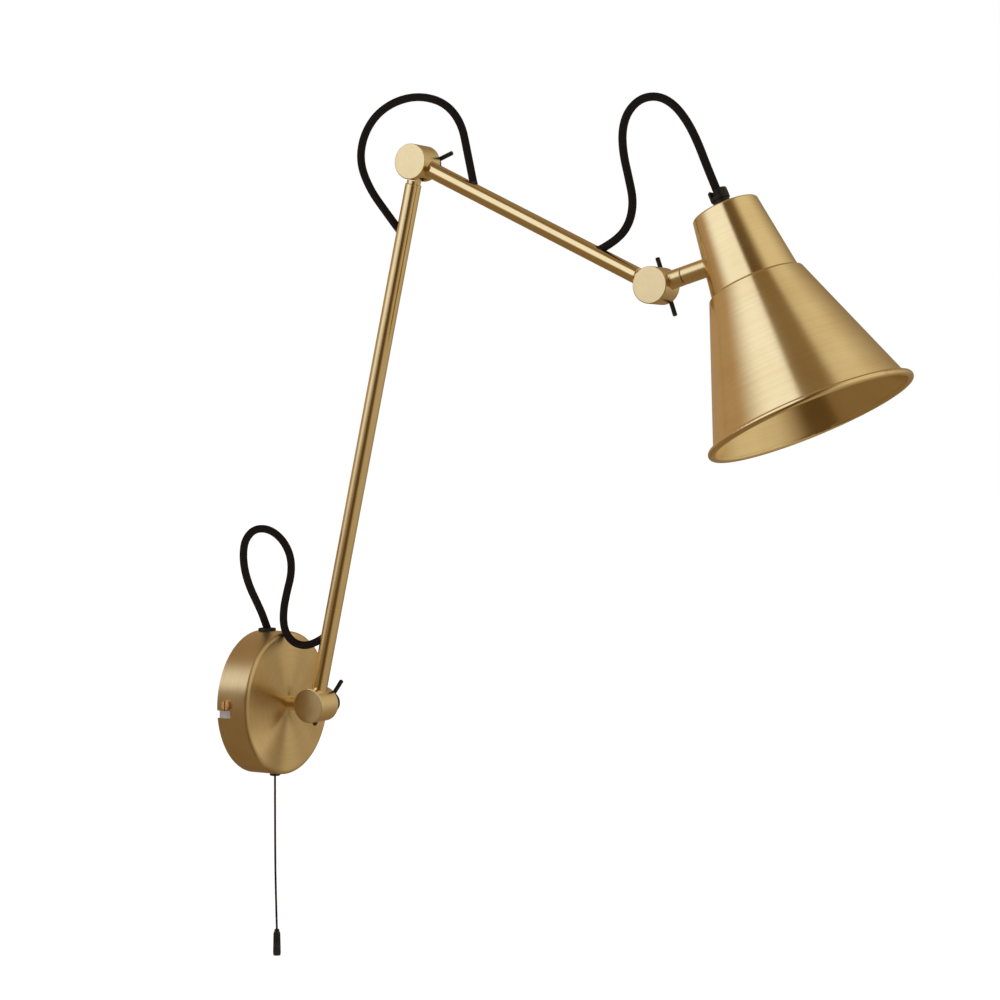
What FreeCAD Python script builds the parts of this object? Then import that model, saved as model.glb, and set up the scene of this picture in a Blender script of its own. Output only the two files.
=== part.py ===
import FreeCAD, Part
import math
import os

# Swing arm wall sconce: a round wall rose, two tubular arms, three clamped knuckles
# and a spun brass shade, wired by one flex that loops round every knuckle.
# Millimetres. The origin is the centre of the rose's back, on the wall. The wall is the
# plane Y = 0, -Y points out into the room and +Z points up. Every knuckle turns about X.

V = FreeCAD.Vector
ORIGIN = V(0, 0, 0)
X_AXIS, Y_AXIS, Z_AXIS = V(1, 0, 0), V(0, 1, 0), V(0, 0, 1)

# ---- Clearances ----
RUNNING = 0.08          # radial, a shaft in a bore that turns on it
FACE_GAP = 0.15         # between flat faces that slide on each other
SEAT_GAP = 0.05         # radial, a piece pushed or screwed into its seat
HOLE_GAP = 0.25         # radial, a fastener or bush through a clearance hole
MOVE_GAP = 0.4          # between pieces that swing past each other
FLEX_HOLE_GAP = 0.5     # round the flex where it passes through an arm's wall

# ---- Wall rose ----
ROSE_D, ROSE_DEPTH, ROSE_WALL, ROSE_EDGE = 100.0, 25.0, 1.5, 3.0
ROSE_SCREW_DEPTH = 8.0            # side screws, from the wall
ROSE_SCREW_TURN = 2.0             # degrees, how far round from level they sit
BAYONET_DROP = 6.2                # from the screw to the middle of the slot's mouth
BAYONET_W, BAYONET_DEPTH = 5.2, 10.8

# ---- Wall bracket ----
BRACKET_W, BRACKET_T = 20.0, 1.5
TAB_DEPTH = 13.0
PLATE_W, PLATE_TOP = 44.0, 33.0
FIXING_SPACING, FIXING_SLOT_L, FIXING_SLOT_W = 60.0, 10.0, 5.0
TAB_GAP = 0.3                     # bracket tab to the rose's side wall

# ---- Small fasteners ----
SIDE_SCREW_D, SIDE_HEAD_D, SIDE_HEAD_H, SIDE_SCREW_L = 4.0, 6.8, 2.2, 8.0
EARTH_D, EARTH_HEAD_D, EARTH_HEAD_H, EARTH_L, EARTH_X, EARTH_Z = 4.0, 7.0, 2.4, 4.0, -18.0, 25.0
DRIVER_SLOT_W, DRIVER_SLOT_DEPTH = 1.0, 0.9

# ---- Stem and its fixing ----
STEM_D, STEM_THREAD_D, STEM_THREAD_L = 10.0, 8.0, 10.0
STEM_NUT_AF, STEM_NUT_H, STEM_WASHER_D, STEM_WASHER_T = 13.0, 6.5, 16.0, 1.2

# ---- Arms ----
PIVOT_OUT = 48.0                  # wall to the base knuckle's axis
LOWER_LENGTH, UPPER_LENGTH = 380.0, 200.0
ARM_D, ARM_WALL = 11.0, 1.0
LOWER_LEAN = 12.7                 # degrees outward from vertical, as stored
UPPER_DROP = 26.0                 # degrees below level, as stored
HOLE_FROM_JOINT = 46.0            # flex hole to the nearest knuckle axis

# ---- Knuckles ----
DRUM_D, DRUM_LENGTH, DRUM_EDGE = 24.0, 20.0, 0.6
EYE_D, TONGUE_T, NECK_W = 16.0, 8.0, 6.4
WASHER_T = 0.8
WEB_GAP = 0.4                     # eye to the drum's web
SEAT_DEPTH = 2.4                  # how far a tube sits into the drum
COLLAR_D, COLLAR_L = 9.4, 2.2     # the waist between a drum and an arm's end
SPIGOT_L = 12.0
TUBE_END_ROUND = 0.8
LEAN_RANGE = (0.0, 75.0)          # degrees from vertical, lower arm
ELBOW_RANGE = (62.0, 165.0)       # degrees between the two arms
TILT_RANGE = (-45.0, 50.0)        # degrees from the stored pose, shade

# ---- Clamp screws ----
SCREW_D, SCREW_BITE = 6.0, 3.5
HUB_D, HUB_L, HUB_ROUND = 15.0, 9.8, 2.0
BAR_D, BAR_L, BAR_X, BAR_ROUND = 3.0, 40.0, 14.5, 0.6
BASE_BAR_TURN, ELBOW_BAR_TURN, HEAD_BAR_TURN = 36.0, 69.4, -19.0   # degrees from up, outward

# ---- Swivel between the head drum and the shade ----
STUB_D, STUB_L, SWIVEL_GROOVE, SWIVEL_CHAMFER = 12.0, 20.2, 0.4, 0.4
SWIVEL_PIN_D = 6.0
SLEEVE_THREAD_D, SLEEVE_TAIL = 10.0, 5.8
SLEEVE_NUT_AF, SLEEVE_NUT_H, NUT_OFF_WALL = 14.0, 3.0, 1.5   # its corners touch the round wall
RETAINER_D, RETAINER_T = 9.4, 0.8
RETAINER_HEAD_D, RETAINER_HEAD_H = 6.0, 2.0
RETAINER_SCREW_D, RETAINER_SCREW_L = 3.0, 8.0

# ---- Shade ----
SHADE_TILT = 24.3                 # degrees, the mouth outward from straight down
NECK_TOP_R, NECK_BOTTOM_R, NECK_L = 21.7, 29.0, 51.5
STEP_OUT, STEP_H = 2.3, 0.9
SHADE_L, RIM_R, BEAD_R = 145.0, 68.0, 2.2
SHADE_WALL = 1.0
TOP_ROUND, STEP_ROUND, STEP_CREASE = 1.6, 1.2, 0.6
STUB_DOWN_NECK = 28.1             # along the neck's slope, top edge to the swivel
SHADE_REACH = 37.6                # head knuckle axis to the neck's wall

# ---- Flex and what grips it ----
FLEX_D = 5.4
GROMMET_D, GROMMET_FLANGE_T, GROMMET_NECK_D, GROMMET_LIP_D = 12.4, 1.7, 8.6, 11.0
GROMMET_LIP_T, GROMMET_ROUND = 1.6, 0.6
GROMMET_MOUTH_OUT, GROMMET_MOUTH_DEPTH = 0.8, 1.5   # the bore's flare, which lets the flex lean
GROMMET_OUT = 6.5                 # from the wall
GRIP_D, GRIP_L, GRIP_COLLAR_D, GRIP_COLLAR_L = 11.0, 13.4, 12.6, 7.0
GRIP_NOTCH_W, GRIP_NOTCH_DEPTH, GRIP_ROUND = 6.2, 4.5, 0.7
GRIP_LEAD = 15.0                  # straight flex above the grip
FLEX_GRIP_GAP = 0.1

# ---- Lampholder ----
NIPPLE_D, NIPPLE_BORE, NIPPLE_UP, NIPPLE_DOWN = 8.0, 6.2, 5.0, 11.0
NIPPLE_NUT_AF, NIPPLE_NUT_H, NIPPLE_WASHER_D, NIPPLE_WASHER_T = 12.0, 3.0, 15.0, 0.8
CAP_D, CAP_L, CAP_WALL, CAP_TOP, CAP_ROUND = 28.0, 14.0, 1.6, 6.5, 4.0
HOLDER_D, HOLDER_L, HOLDER_SPIGOT_L = 26.0, 32.0, 4.0
HOLDER_RING_D, HOLDER_RING_T, HOLDER_RING_DROP = 30.0, 2.4, 8.0
LAMP_THREAD_D, LAMP_THREAD_DEPTH = 14.0, 24.0
CONTACT_D, CONTACT_H, CONTACT_PIN_D, CONTACT_PIN_L = 7.0, 1.4, 3.0, 5.0
FLEX_IN_CAP = 3.0                 # how far the flex reaches into the cap's hollow

# ---- Inside the rose ----
BLOCK_W, BLOCK_H, BLOCK_DEPTH, BLOCK_Z = 26.0, 12.0, 12.0, 19.0
BLOCK_WAYS, BLOCK_SCREW_D, BLOCK_SCREW_H = 3, 4.0, 2.0
SWITCH_W, SWITCH_DEPTH, SWITCH_H, SWITCH_OUT = 22.0, 17.0, 24.0, 13.0
SWITCH_OFF_ROSE = 1.2             # above the rose's inner wall
SWITCH_EDGE = 1.0
GUIDE_D, GUIDE_FLANGE_D, GUIDE_FLANGE_T, GUIDE_BORE = 5.6, 7.6, 1.8, 2.6

# ---- Pull cord ----
PULL_D, PULL_TRAVEL = 1.5, 8.0
PLUNGER_D, PLUNGER_H, PLUNGER_Z = 5.0, 6.0, -31.0
TOGGLE_TOP_D, TOGGLE_BOTTOM_D, TOGGLE_L, TOGGLE_ROUND = 4.8, 5.6, 18.5, 0.8

# ---- Routes, chosen by hand ----
# Each loop is a list of points round the knuckle that it passes: (x, out, up) from the
# centre of the rose for the base loop, and from the knuckle's axis for the other two,
# where out is away from the wall. The flex hole or the grip is added at each open end.
# The bends are as tight as a soft, braided flex takes.
BASE_LOOP = (
    (-5, 6.5, 61), (-12.5, 6.5, 71), (-20.5, 6.5, 81.5), (-27, 7, 93), (-30.5, 8, 105),
    (-29, 9, 115.5), (-22.5, 12.5, 122.5), (-13, 18, 122), (-5.5, 24, 114.5),
    (-1.5, 28, 103), (-1.5, 28.5, 90.5), (-3.5, 26, 78), (-5.5, 24.5, 66), (-6.5, 25, 55),
    (-6, 28.5, 46.5), (-4, 35.5, 41.2), (-1.3, 45, 41.3),
)
ELBOW_LOOP = (
    (0, -26, -31.2), (0, -38.5, -15.7), (0, -46.5, 2.3), (0, -44, 19.8), (0, -33.5, 34.3),
    (0, -17, 42.8), (0, 2.5, 44.8), (0, 22, 38.8), (0, 34.5, 24.8), (0, 39, 5.8),
)
HEAD_LOOP = (
    (0, -28.3, 30), (0, -19.3, 40), (0, -16.3, 54), (0, -19.8, 69.5), (0, -23.8, 85),
    (0, -24.8, 100), (0, -20.8, 112), (0, -11.3, 120), (0, 1.2, 120.7), (0, 12.2, 114.7),
    (0, 21.5, 103.7), (0, 29, 90),
)
PULL_ROUTE = ((0, 12.8, -90), (0, 13.2, -130))
PULL_END = (0, 14.2, -160)
ARC_SHARE = 0.45                  # of the shorter run that an arc may take

# ---- Derived places ----
TUBE_BORE_R = ARM_D / 2 - ARM_WALL
DRUM_R, EYE_R = DRUM_D / 2, EYE_D / 2
WEB_R = EYE_R + WEB_GAP
SLOT_HALF = TONGUE_T / 2 + FACE_GAP + WASHER_T
COLLAR_START = DRUM_R + MOVE_GAP
SPIGOT_START = COLLAR_START + COLLAR_L
NECK_CLEAR = math.degrees(math.asin((NECK_W / 2 + MOVE_GAP) / WEB_R))
NECK_SLOPE = math.degrees(math.atan((NECK_BOTTOM_R - NECK_TOP_R) / NECK_L))
STUB_RISE = SHADE_TILT - NECK_SLOPE      # the swivel stands square to the neck's wall
ROSE_R, ROSE_IN_R = ROSE_D / 2, ROSE_D / 2 - ROSE_WALL


def heading(turn):
    """Unit vector that points up when turn is 0 and straight out of the wall at 90 degrees."""
    angle = math.radians(turn)
    return V(0, -math.sin(angle), math.cos(angle))


LOWER_TURN = LOWER_LEAN
UPPER_TURN = 90.0 + UPPER_DROP
STUB_TURN = 90.0 - STUB_RISE
BASE_AXIS = V(0, -PIVOT_OUT, 0)
ELBOW_AXIS = BASE_AXIS + heading(LOWER_TURN) * LOWER_LENGTH
HEAD_AXIS = ELBOW_AXIS + heading(UPPER_TURN) * UPPER_LENGTH
SHADE_DOWN = heading(180.0 - SHADE_TILT)
SHADE_WALLWARD = heading(-90.0 - SHADE_TILT)
SHADE_TOP = (HEAD_AXIS + heading(STUB_TURN) * SHADE_REACH
             + heading(STUB_TURN - 90.0) * STUB_DOWN_NECK - SHADE_WALLWARD * NECK_TOP_R)


# ---- Basic solids ----
def disc(radius, low, high, axis=Z_AXIS, centre=ORIGIN):
    """Cylinder about an axis through centre, from low to high along it."""
    return Part.makeCylinder(radius, high - low, centre + axis * low, axis)


def ring(outer, inner, low, high, axis=Z_AXIS, centre=ORIGIN):
    """Disc with a bore."""
    return disc(outer, low, high, axis, centre).cut(disc(inner, low - 1, high + 1, axis, centre))


def block(low, high):
    """Box between two corners."""
    return Part.makeBox(high.x - low.x, high.y - low.y, high.z - low.z, low)


def hexagon(across_flats, low, high, bore, axis=Z_AXIS, centre=ORIGIN):
    """Hexagonal nut with a bore, about an axis through centre."""
    corner = across_flats / math.sqrt(3)
    points = [V(corner * math.cos(math.radians(60 * i)), corner * math.sin(math.radians(60 * i)), low)
              for i in range(7)]
    nut = Part.Face(Part.makePolygon(points)).extrude(V(0, 0, high - low))
    nut = nut.common(disc(corner * 0.97, low, high))
    nut.Placement = FreeCAD.Placement(centre, FreeCAD.Rotation(Z_AXIS, axis))
    return nut.cut(disc(bore, low - 1, high + 1, axis, centre))


def sector(start, end, radius, half_width):
    """Wedge about X, between two headings, half_width to each side of the middle."""
    middle = (start + end) / 2
    side = V(-half_width, 0, 0)
    a, b, c = (heading(t) * radius + side for t in (start, middle, end))
    edges = [Part.makeLine(side, a), Part.Arc(a, b, c).toShape(), Part.makeLine(c, side)]
    return Part.Face(Part.Wire(edges)).extrude(V(2 * half_width, 0, 0))


def revolve(profile):
    """Solid of revolution about Z of a closed outline of (radius, height) points."""
    points = [V(r, 0, z) for r, z in profile]
    return Part.Face(Part.makePolygon(points + points[:1])).revolve(ORIGIN, Z_AXIS, 360)


def circles(shape, radius, height, tolerance=0.01):
    """The circular edges of a shape about Z that have this radius and height."""
    found = []
    for edge in shape.Edges:
        curve = edge.Curve
        if isinstance(curve, Part.Circle) and abs(curve.Radius - radius) < tolerance:
            if abs(curve.Center.z - height) < tolerance:
                found.append(edge)
    return found


def edges_at(shape, axis, place, radius, tolerance=0.01):
    """The circular edges of a shape whose centres lie at this place along an axis."""
    found = []
    for edge in shape.Edges:
        curve = edge.Curve
        if isinstance(curve, Part.Circle) and abs(curve.Radius - radius) < tolerance:
            if abs(curve.Center.dot(axis) - place) < tolerance:
                found.append(edge)
    return found


def put(shape, turn, place):
    """Turn a piece modelled along +Z to a heading, about X, and move it to its place."""
    moved = shape.copy()
    moved.Placement = FreeCAD.Placement(place, FreeCAD.Rotation(X_AXIS, turn)).multiply(moved.Placement)
    return moved


def slotted(shape, top, axis, across, depth=DRIVER_SLOT_DEPTH, width=DRIVER_SLOT_W):
    """Cut a screwdriver slot into a head whose top lies at a point, along across."""
    reach = 20.0
    cutter = Part.makeBox(reach, width, 2 * depth, V(-reach / 2, -width / 2, -depth))
    third = axis.cross(across)
    matrix = FreeCAD.Matrix(across.x, third.x, axis.x, top.x, across.y, third.y, axis.y, top.y,
                            across.z, third.z, axis.z, top.z, 0, 0, 0, 1)
    return shape.cut(cutter.transformGeometry(matrix))


# ---- Flex routes ----
def bend_radius(before, corner, after, share=ARC_SHARE):
    """Radius of the arc that rounds a corner, from the shorter run beside it."""
    first, second = corner - before, after - corner
    half = first.getAngle(second) / 2
    return share * min(first.Length, second.Length) / math.tan(half)


def route_wire(points, share=ARC_SHARE):
    """Straight runs joined by tangent arcs."""
    edges, start = [], points[0]
    for before, corner, after in zip(points, points[1:], points[2:]):
        first, second = (corner - before).normalize(), (after - corner).normalize()
        half = first.getAngle(second) / 2
        radius = bend_radius(before, corner, after, share)
        reach = radius * math.tan(half)
        entry, leave = corner - first * reach, corner + second * reach
        inward = (second - first).normalize()
        middle = corner + inward * (radius / math.cos(half) - radius)
        edges.append(Part.LineSegment(start, entry).toShape())
        edges.append(Part.Arc(entry, middle, leave).toShape())
        start = leave
    edges.append(Part.LineSegment(start, points[-1]).toShape())
    return Part.Wire(edges)


def cord(points, diameter, share=ARC_SHARE):
    """Round cord along a route."""
    wire = route_wire(points, share)
    start = (points[1] - points[0]).normalize()
    section = Part.Wire(Part.makeCircle(diameter / 2, points[0], start))
    return wire.makePipeShell([section], True, False)


def tell(name, points, solid, diameter, share=ARC_SHARE):
    """Print a cord's length, its radii and how its volume compares with its section."""
    wire = route_wire(points, share)
    radii = [bend_radius(a, b, c, share) for a, b, c in zip(points, points[1:], points[2:])]
    section = math.pi * diameter ** 2 / 4
    print(name, "length", round(wire.Length, 1), "volume ratio",
          round(solid.Volume / (section * wire.Length), 4), "radii", [round(r, 1) for r in radii])


def loop_points(route, start=ORIGIN):
    """Route points from (x, out, up) values about a starting point."""
    return [V(start.x + x, start.y - out, start.z + up) for x, out, up in route]


def arm_hole(pivot, turn, along):
    """Where the flex's centre line crosses an arm's surface, on its flex side."""
    return pivot + heading(turn) * along + heading(turn - 90.0) * (ARM_D / 2)


def base_loop_points():
    """The flex from the grommet to the lower arm's lower hole."""
    grommet_top = V(0, -GROMMET_OUT, ROSE_R + SEAT_GAP + GROMMET_FLANGE_T)
    return ([grommet_top] + loop_points(BASE_LOOP)
            + [arm_hole(BASE_AXIS, LOWER_TURN, HOLE_FROM_JOINT)])


def elbow_loop_points():
    """The flex round the elbow, from the lower arm's upper hole to the upper arm's first."""
    return ([arm_hole(BASE_AXIS, LOWER_TURN, LOWER_LENGTH - HOLE_FROM_JOINT)]
            + loop_points(ELBOW_LOOP, ELBOW_AXIS)
            + [arm_hole(ELBOW_AXIS, UPPER_TURN, HOLE_FROM_JOINT)])


def head_loop_points():
    """The flex from the upper arm's last hole to the shade's cord grip."""
    grip_top = SHADE_TOP - SHADE_DOWN * GRIP_L
    return ([arm_hole(ELBOW_AXIS, UPPER_TURN, UPPER_LENGTH - HOLE_FROM_JOINT)]
            + loop_points(HEAD_LOOP, HEAD_AXIS) + [grip_top - SHADE_DOWN * GRIP_LEAD, grip_top])


def held_points(pivot, turn, length, incoming, outgoing):
    """Route of the flex inside an arm, between its two holes, lying against the far wall."""
    far_side = heading(turn + 90.0)
    rest_line = TUBE_BORE_R - FLEX_D / 2 - FLEX_HOLE_GAP
    drop = ARM_D / 2 + rest_line
    enter = arm_hole(pivot, turn, HOLE_FROM_JOINT)
    leave = arm_hole(pivot, turn, length - HOLE_FROM_JOINT)
    first = enter + incoming * (drop / incoming.dot(far_side))
    last = leave - outgoing * (drop / (-outgoing.dot(far_side)))
    return [enter, first, last, leave]


def held_wire(points):
    """Route inside an arm: each arc takes nearly the whole run between hole and bore."""
    nearly = 0.98
    edges, start = [], points[0]
    for before, corner, after in ((points[0], points[1], points[2]), (points[3], points[2], points[1])):
        first, second = (corner - before).normalize(), (after - corner).normalize()
        half = first.getAngle(second) / 2
        reach = nearly * (corner - before).Length
        radius = reach / math.tan(half)
        entry, leave = corner - first * reach, corner + second * reach
        inward = (second - first).normalize()
        middle = corner + inward * (radius / math.cos(half) - radius)
        edges.append((before, entry, middle, leave))
    (a0, a1, am, a2), (b0, b1, bm, b2) = edges
    return Part.Wire([Part.LineSegment(a0, a1).toShape(), Part.Arc(a1, am, a2).toShape(),
                      Part.LineSegment(a2, b2).toShape(), Part.Arc(b2, bm, b1).toShape(),
                      Part.LineSegment(b1, b0).toShape()])


def held_cord(points, diameter):
    """Round cord along the route inside an arm."""
    start = (points[1] - points[0]).normalize()
    section = Part.Wire(Part.makeCircle(diameter / 2, points[0], start))
    return held_wire(points).makePipeShell([section], True, False)


# ---- Knuckle pieces, modelled with the pivot at the origin and the arm along +Z ----
def drum(inner_turn, travel, seat_d):
    """Slotted drum: a plain front face, a web that takes the arm, and two cheeks."""
    body = disc(DRUM_R, -DRUM_LENGTH / 2, DRUM_LENGTH / 2, X_AXIS)
    ends = edges_at(body, X_AXIS, -DRUM_LENGTH / 2, DRUM_R) + edges_at(body, X_AXIS, DRUM_LENGTH / 2, DRUM_R)
    body = body.makeFillet(DRUM_EDGE, ends)
    low, high = inner_turn - travel[1] - NECK_CLEAR, inner_turn - travel[0] + NECK_CLEAR
    body = body.cut(sector(low, high, DRUM_D, SLOT_HALF))
    body = body.cut(disc(WEB_R, -SLOT_HALF, SLOT_HALF, X_AXIS))
    body = body.cut(disc(SCREW_D / 2 + RUNNING, -SLOT_HALF - SCREW_BITE, DRUM_LENGTH, X_AXIS))
    return body.cut(disc(seat_d / 2 + SEAT_GAP, DRUM_R - SEAT_DEPTH, DRUM_D))


def washers():
    """The two friction washers, one against each cheek."""
    pair = []
    for side in (-1, 1):
        inner, outer = sorted((side * (SLOT_HALF - WASHER_T), side * SLOT_HALF))
        pair.append(ring(EYE_R, SCREW_D / 2 + RUNNING, inner, outer, X_AXIS))
    return Part.makeCompound(pair)


def eye():
    """Tongue that the clamp screw passes through, with its shank towards -Z."""
    tongue = disc(EYE_R, -TONGUE_T / 2, TONGUE_T / 2, X_AXIS)
    neck = block(V(-TONGUE_T / 2, -NECK_W / 2, -COLLAR_START), V(TONGUE_T / 2, NECK_W / 2, 0))
    return tongue.fuse(neck)


def arm_tongue():
    """Tongue with a waist and a spigot that plugs an arm's end."""
    body = eye().fuse(disc(COLLAR_D / 2, -SPIGOT_START, -COLLAR_START))
    body = body.fuse(disc(TUBE_BORE_R - SEAT_GAP, -SPIGOT_START - SPIGOT_L, -SPIGOT_START))
    return body.cut(disc(SCREW_D / 2 + RUNNING, -DRUM_D, DRUM_D, X_AXIS)).removeSplitter()


def stem():
    """Post from the rose to the base knuckle, with a shoulder and a threaded end."""
    shoulder = PIVOT_OUT - ROSE_DEPTH
    body = eye().fuse(disc(STEM_D / 2, -shoulder, -COLLAR_START))
    body = body.fuse(disc(STEM_THREAD_D / 2, -shoulder - STEM_THREAD_L, -shoulder))
    return body.cut(disc(SCREW_D / 2 + RUNNING, -DRUM_D, DRUM_D, X_AXIS)).removeSplitter()


def arm_tube(length):
    """Arm's tube from its own drum's seat to the next knuckle's tongue, with two flex holes."""
    low, high = DRUM_R - SEAT_DEPTH, length - SPIGOT_START
    tube = disc(ARM_D / 2, low, high)
    tube = tube.makeFillet(TUBE_END_ROUND, circles(tube, ARM_D / 2, high))
    return tube.cut(disc(TUBE_BORE_R, low - 1, high + 1))


def pierced(tube, points, incoming, outgoing):
    """An arm with its walls opened where the flex enters and leaves."""
    clear = FLEX_D + 2 * FLEX_HOLE_GAP
    reach = 3 * FLEX_D
    tube = tube.cut(held_cord(points, clear))
    tube = tube.cut(disc(clear / 2, -reach, 0, incoming, points[0]))
    return tube.cut(disc(clear / 2, 0, reach, outgoing, points[-1]))


def clamp_screw():
    """Clamp screw with its round hub behind the drum."""
    start = DRUM_LENGTH / 2 + FACE_GAP
    hub = disc(HUB_D / 2, start, start + HUB_L, X_AXIS)
    hub = hub.makeFillet(HUB_ROUND, edges_at(hub, X_AXIS, start + HUB_L, HUB_D / 2))
    shaft = disc(SCREW_D / 2, -SLOT_HALF - SCREW_BITE + FACE_GAP, start, X_AXIS)
    hole = disc(BAR_D / 2 + SEAT_GAP, -DRUM_D, DRUM_D, Z_AXIS, V(BAR_X, 0, 0))
    return hub.fuse(shaft).cut(hole)


def clamp_bar():
    """Cross bar of a clamp screw."""
    bar = disc(BAR_D / 2, -BAR_L / 2, BAR_L / 2, Z_AXIS, V(BAR_X, 0, 0))
    ends = circles(bar, BAR_D / 2, BAR_L / 2) + circles(bar, BAR_D / 2, -BAR_L / 2)
    return bar.makeFillet(BAR_ROUND, ends)


# ---- Wall rose and what it holds ----
def rose():
    """Spun cup with holes for the stem, flex and pull cord, and two bayonet slots."""
    shell = disc(ROSE_R, 0, ROSE_DEPTH, -Y_AXIS)
    shell = shell.makeFillet(ROSE_EDGE, edges_at(shell, Y_AXIS, -ROSE_DEPTH, ROSE_R))
    hollow = disc(ROSE_IN_R, -1, ROSE_DEPTH - ROSE_WALL, -Y_AXIS)
    inner_edge = edges_at(hollow, Y_AXIS, ROSE_WALL - ROSE_DEPTH, ROSE_IN_R)
    shell = shell.cut(hollow.makeFillet(ROSE_EDGE - ROSE_WALL, inner_edge))
    shell = shell.cut(disc(STEM_THREAD_D / 2 + HOLE_GAP, 0, ROSE_D, -Y_AXIS))
    shell = shell.cut(disc(GROMMET_NECK_D / 2 + HOLE_GAP, 0, ROSE_D, Z_AXIS, V(0, -GROMMET_OUT, 0)))
    shell = shell.cut(disc(GUIDE_D / 2 + HOLE_GAP, 0, ROSE_D, -Z_AXIS, V(0, -SWITCH_OUT, 0)))
    for side in (-1, 1):
        shell = shell.cut(bayonet(side))
    return shell


def side_screw_place(side):
    """Where a side screw's axis crosses the rose's outer wall, and its direction."""
    angle = math.radians(ROSE_SCREW_TURN)
    out = V(side * math.cos(angle), 0, -side * math.sin(angle))
    return out * ROSE_R + V(0, -ROSE_SCREW_DEPTH, 0), out


def bayonet(side):
    """L-shaped opening that lets the rose drop over a side screw and turn to lock."""
    place, out = side_screw_place(side)
    along = out.cross(Y_AXIS) * side
    half = BAYONET_W / 2
    mouth = place + along * (BAYONET_DROP if along.z * side > 0 else -BAYONET_DROP)
    seat_r = SIDE_SCREW_D / 2 + HOLE_GAP
    depth = ROSE_WALL * 4
    low_z, high_z = mouth.z - half, mouth.z + half
    x0, x1 = sorted((side * (ROSE_R - depth), side * (ROSE_R + depth)))
    opening = block(V(x0, -BAYONET_DEPTH, low_z), V(x1, 1, high_z))
    z0, z1 = sorted((mouth.z, place.z))
    link = block(V(x0, -ROSE_SCREW_DEPTH - seat_r, z0), V(x1, -ROSE_SCREW_DEPTH + seat_r, z1))
    seat = disc(seat_r, -depth, depth, out, place)
    return opening.fuse(link).fuse(seat)


def bracket():
    """Pressed steel bracket: a strap with two turned-up tabs and a plate for the terminals."""
    tab_x = math.sqrt(ROSE_IN_R ** 2 - (BRACKET_W / 2) ** 2) - TAB_GAP
    half = BRACKET_W / 2
    body = block(V(-tab_x, -BRACKET_T, -half), V(tab_x, 0, half))
    body = body.fuse(block(V(-PLATE_W / 2, -BRACKET_T, 0), V(PLATE_W / 2, 0, PLATE_TOP)))
    for side in (-1, 1):
        x0, x1 = sorted((side * tab_x, side * (tab_x - BRACKET_T)))
        body = body.fuse(block(V(x0, -TAB_DEPTH, -half), V(x1, 0, half)))
    body = body.removeSplitter()
    for side in (-1, 1):
        place, out = side_screw_place(side)
        body = body.cut(disc(SIDE_SCREW_D / 2 + SEAT_GAP, -SIDE_SCREW_L * 2, 0, out, place))
        body = body.cut(fixing_slot(side * FIXING_SPACING / 2))
    return body.cut(disc(EARTH_D / 2 + SEAT_GAP, -1, TAB_DEPTH, -Y_AXIS, V(EARTH_X, 0, EARTH_Z)))


def fixing_slot(middle):
    """Slotted hole for a wall screw, along X."""
    r = FIXING_SLOT_W / 2
    half = FIXING_SLOT_L / 2 - r
    slot = block(V(middle - half, -TAB_DEPTH, -r), V(middle + half, 1, r))
    for end in (-half, half):
        slot = slot.fuse(disc(r, -1, TAB_DEPTH, -Y_AXIS, V(middle + end, 0, 0)))
    return slot


def side_screws():
    """Two brass screws through the rose's side into the bracket's tabs."""
    pair = []
    for side in (-1, 1):
        place, out = side_screw_place(side)
        low = SEAT_GAP
        head = disc(SIDE_HEAD_D / 2, low, low + SIDE_HEAD_H, out, place)
        rim = edges_at(head, out, place.dot(out) + low + SIDE_HEAD_H, SIDE_HEAD_D / 2)
        head = head.makeFillet(SIDE_HEAD_H / 3, rim)
        screw = head.fuse(disc(SIDE_SCREW_D / 2, low - SIDE_SCREW_L, low, out, place))
        pair.append(slotted(screw, place + out * (low + SIDE_HEAD_H), out, out.cross(Y_AXIS)))
    return Part.makeCompound(pair)


def earth_screw():
    """Earth screw on the bracket's plate."""
    centre = V(EARTH_X, -BRACKET_T, EARTH_Z)
    head = disc(EARTH_HEAD_D / 2, 0, EARTH_HEAD_H, -Y_AXIS, centre)
    shank = disc(EARTH_D / 2, -BRACKET_T, 0, -Y_AXIS, centre)
    return slotted(head.fuse(shank), centre - Y_AXIS * EARTH_HEAD_H, -Y_AXIS, X_AXIS)


def stem_washer():
    """Washer between the rose and the stem's nut."""
    low = ROSE_WALL - ROSE_DEPTH
    return ring(STEM_WASHER_D / 2, STEM_THREAD_D / 2 + HOLE_GAP, low, low + STEM_WASHER_T, Y_AXIS)


def stem_nut():
    """Nut that holds the stem in the rose."""
    low = ROSE_WALL - ROSE_DEPTH + STEM_WASHER_T
    return hexagon(STEM_NUT_AF, low, low + STEM_NUT_H, STEM_THREAD_D / 2 + SEAT_GAP, Y_AXIS)


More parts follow.
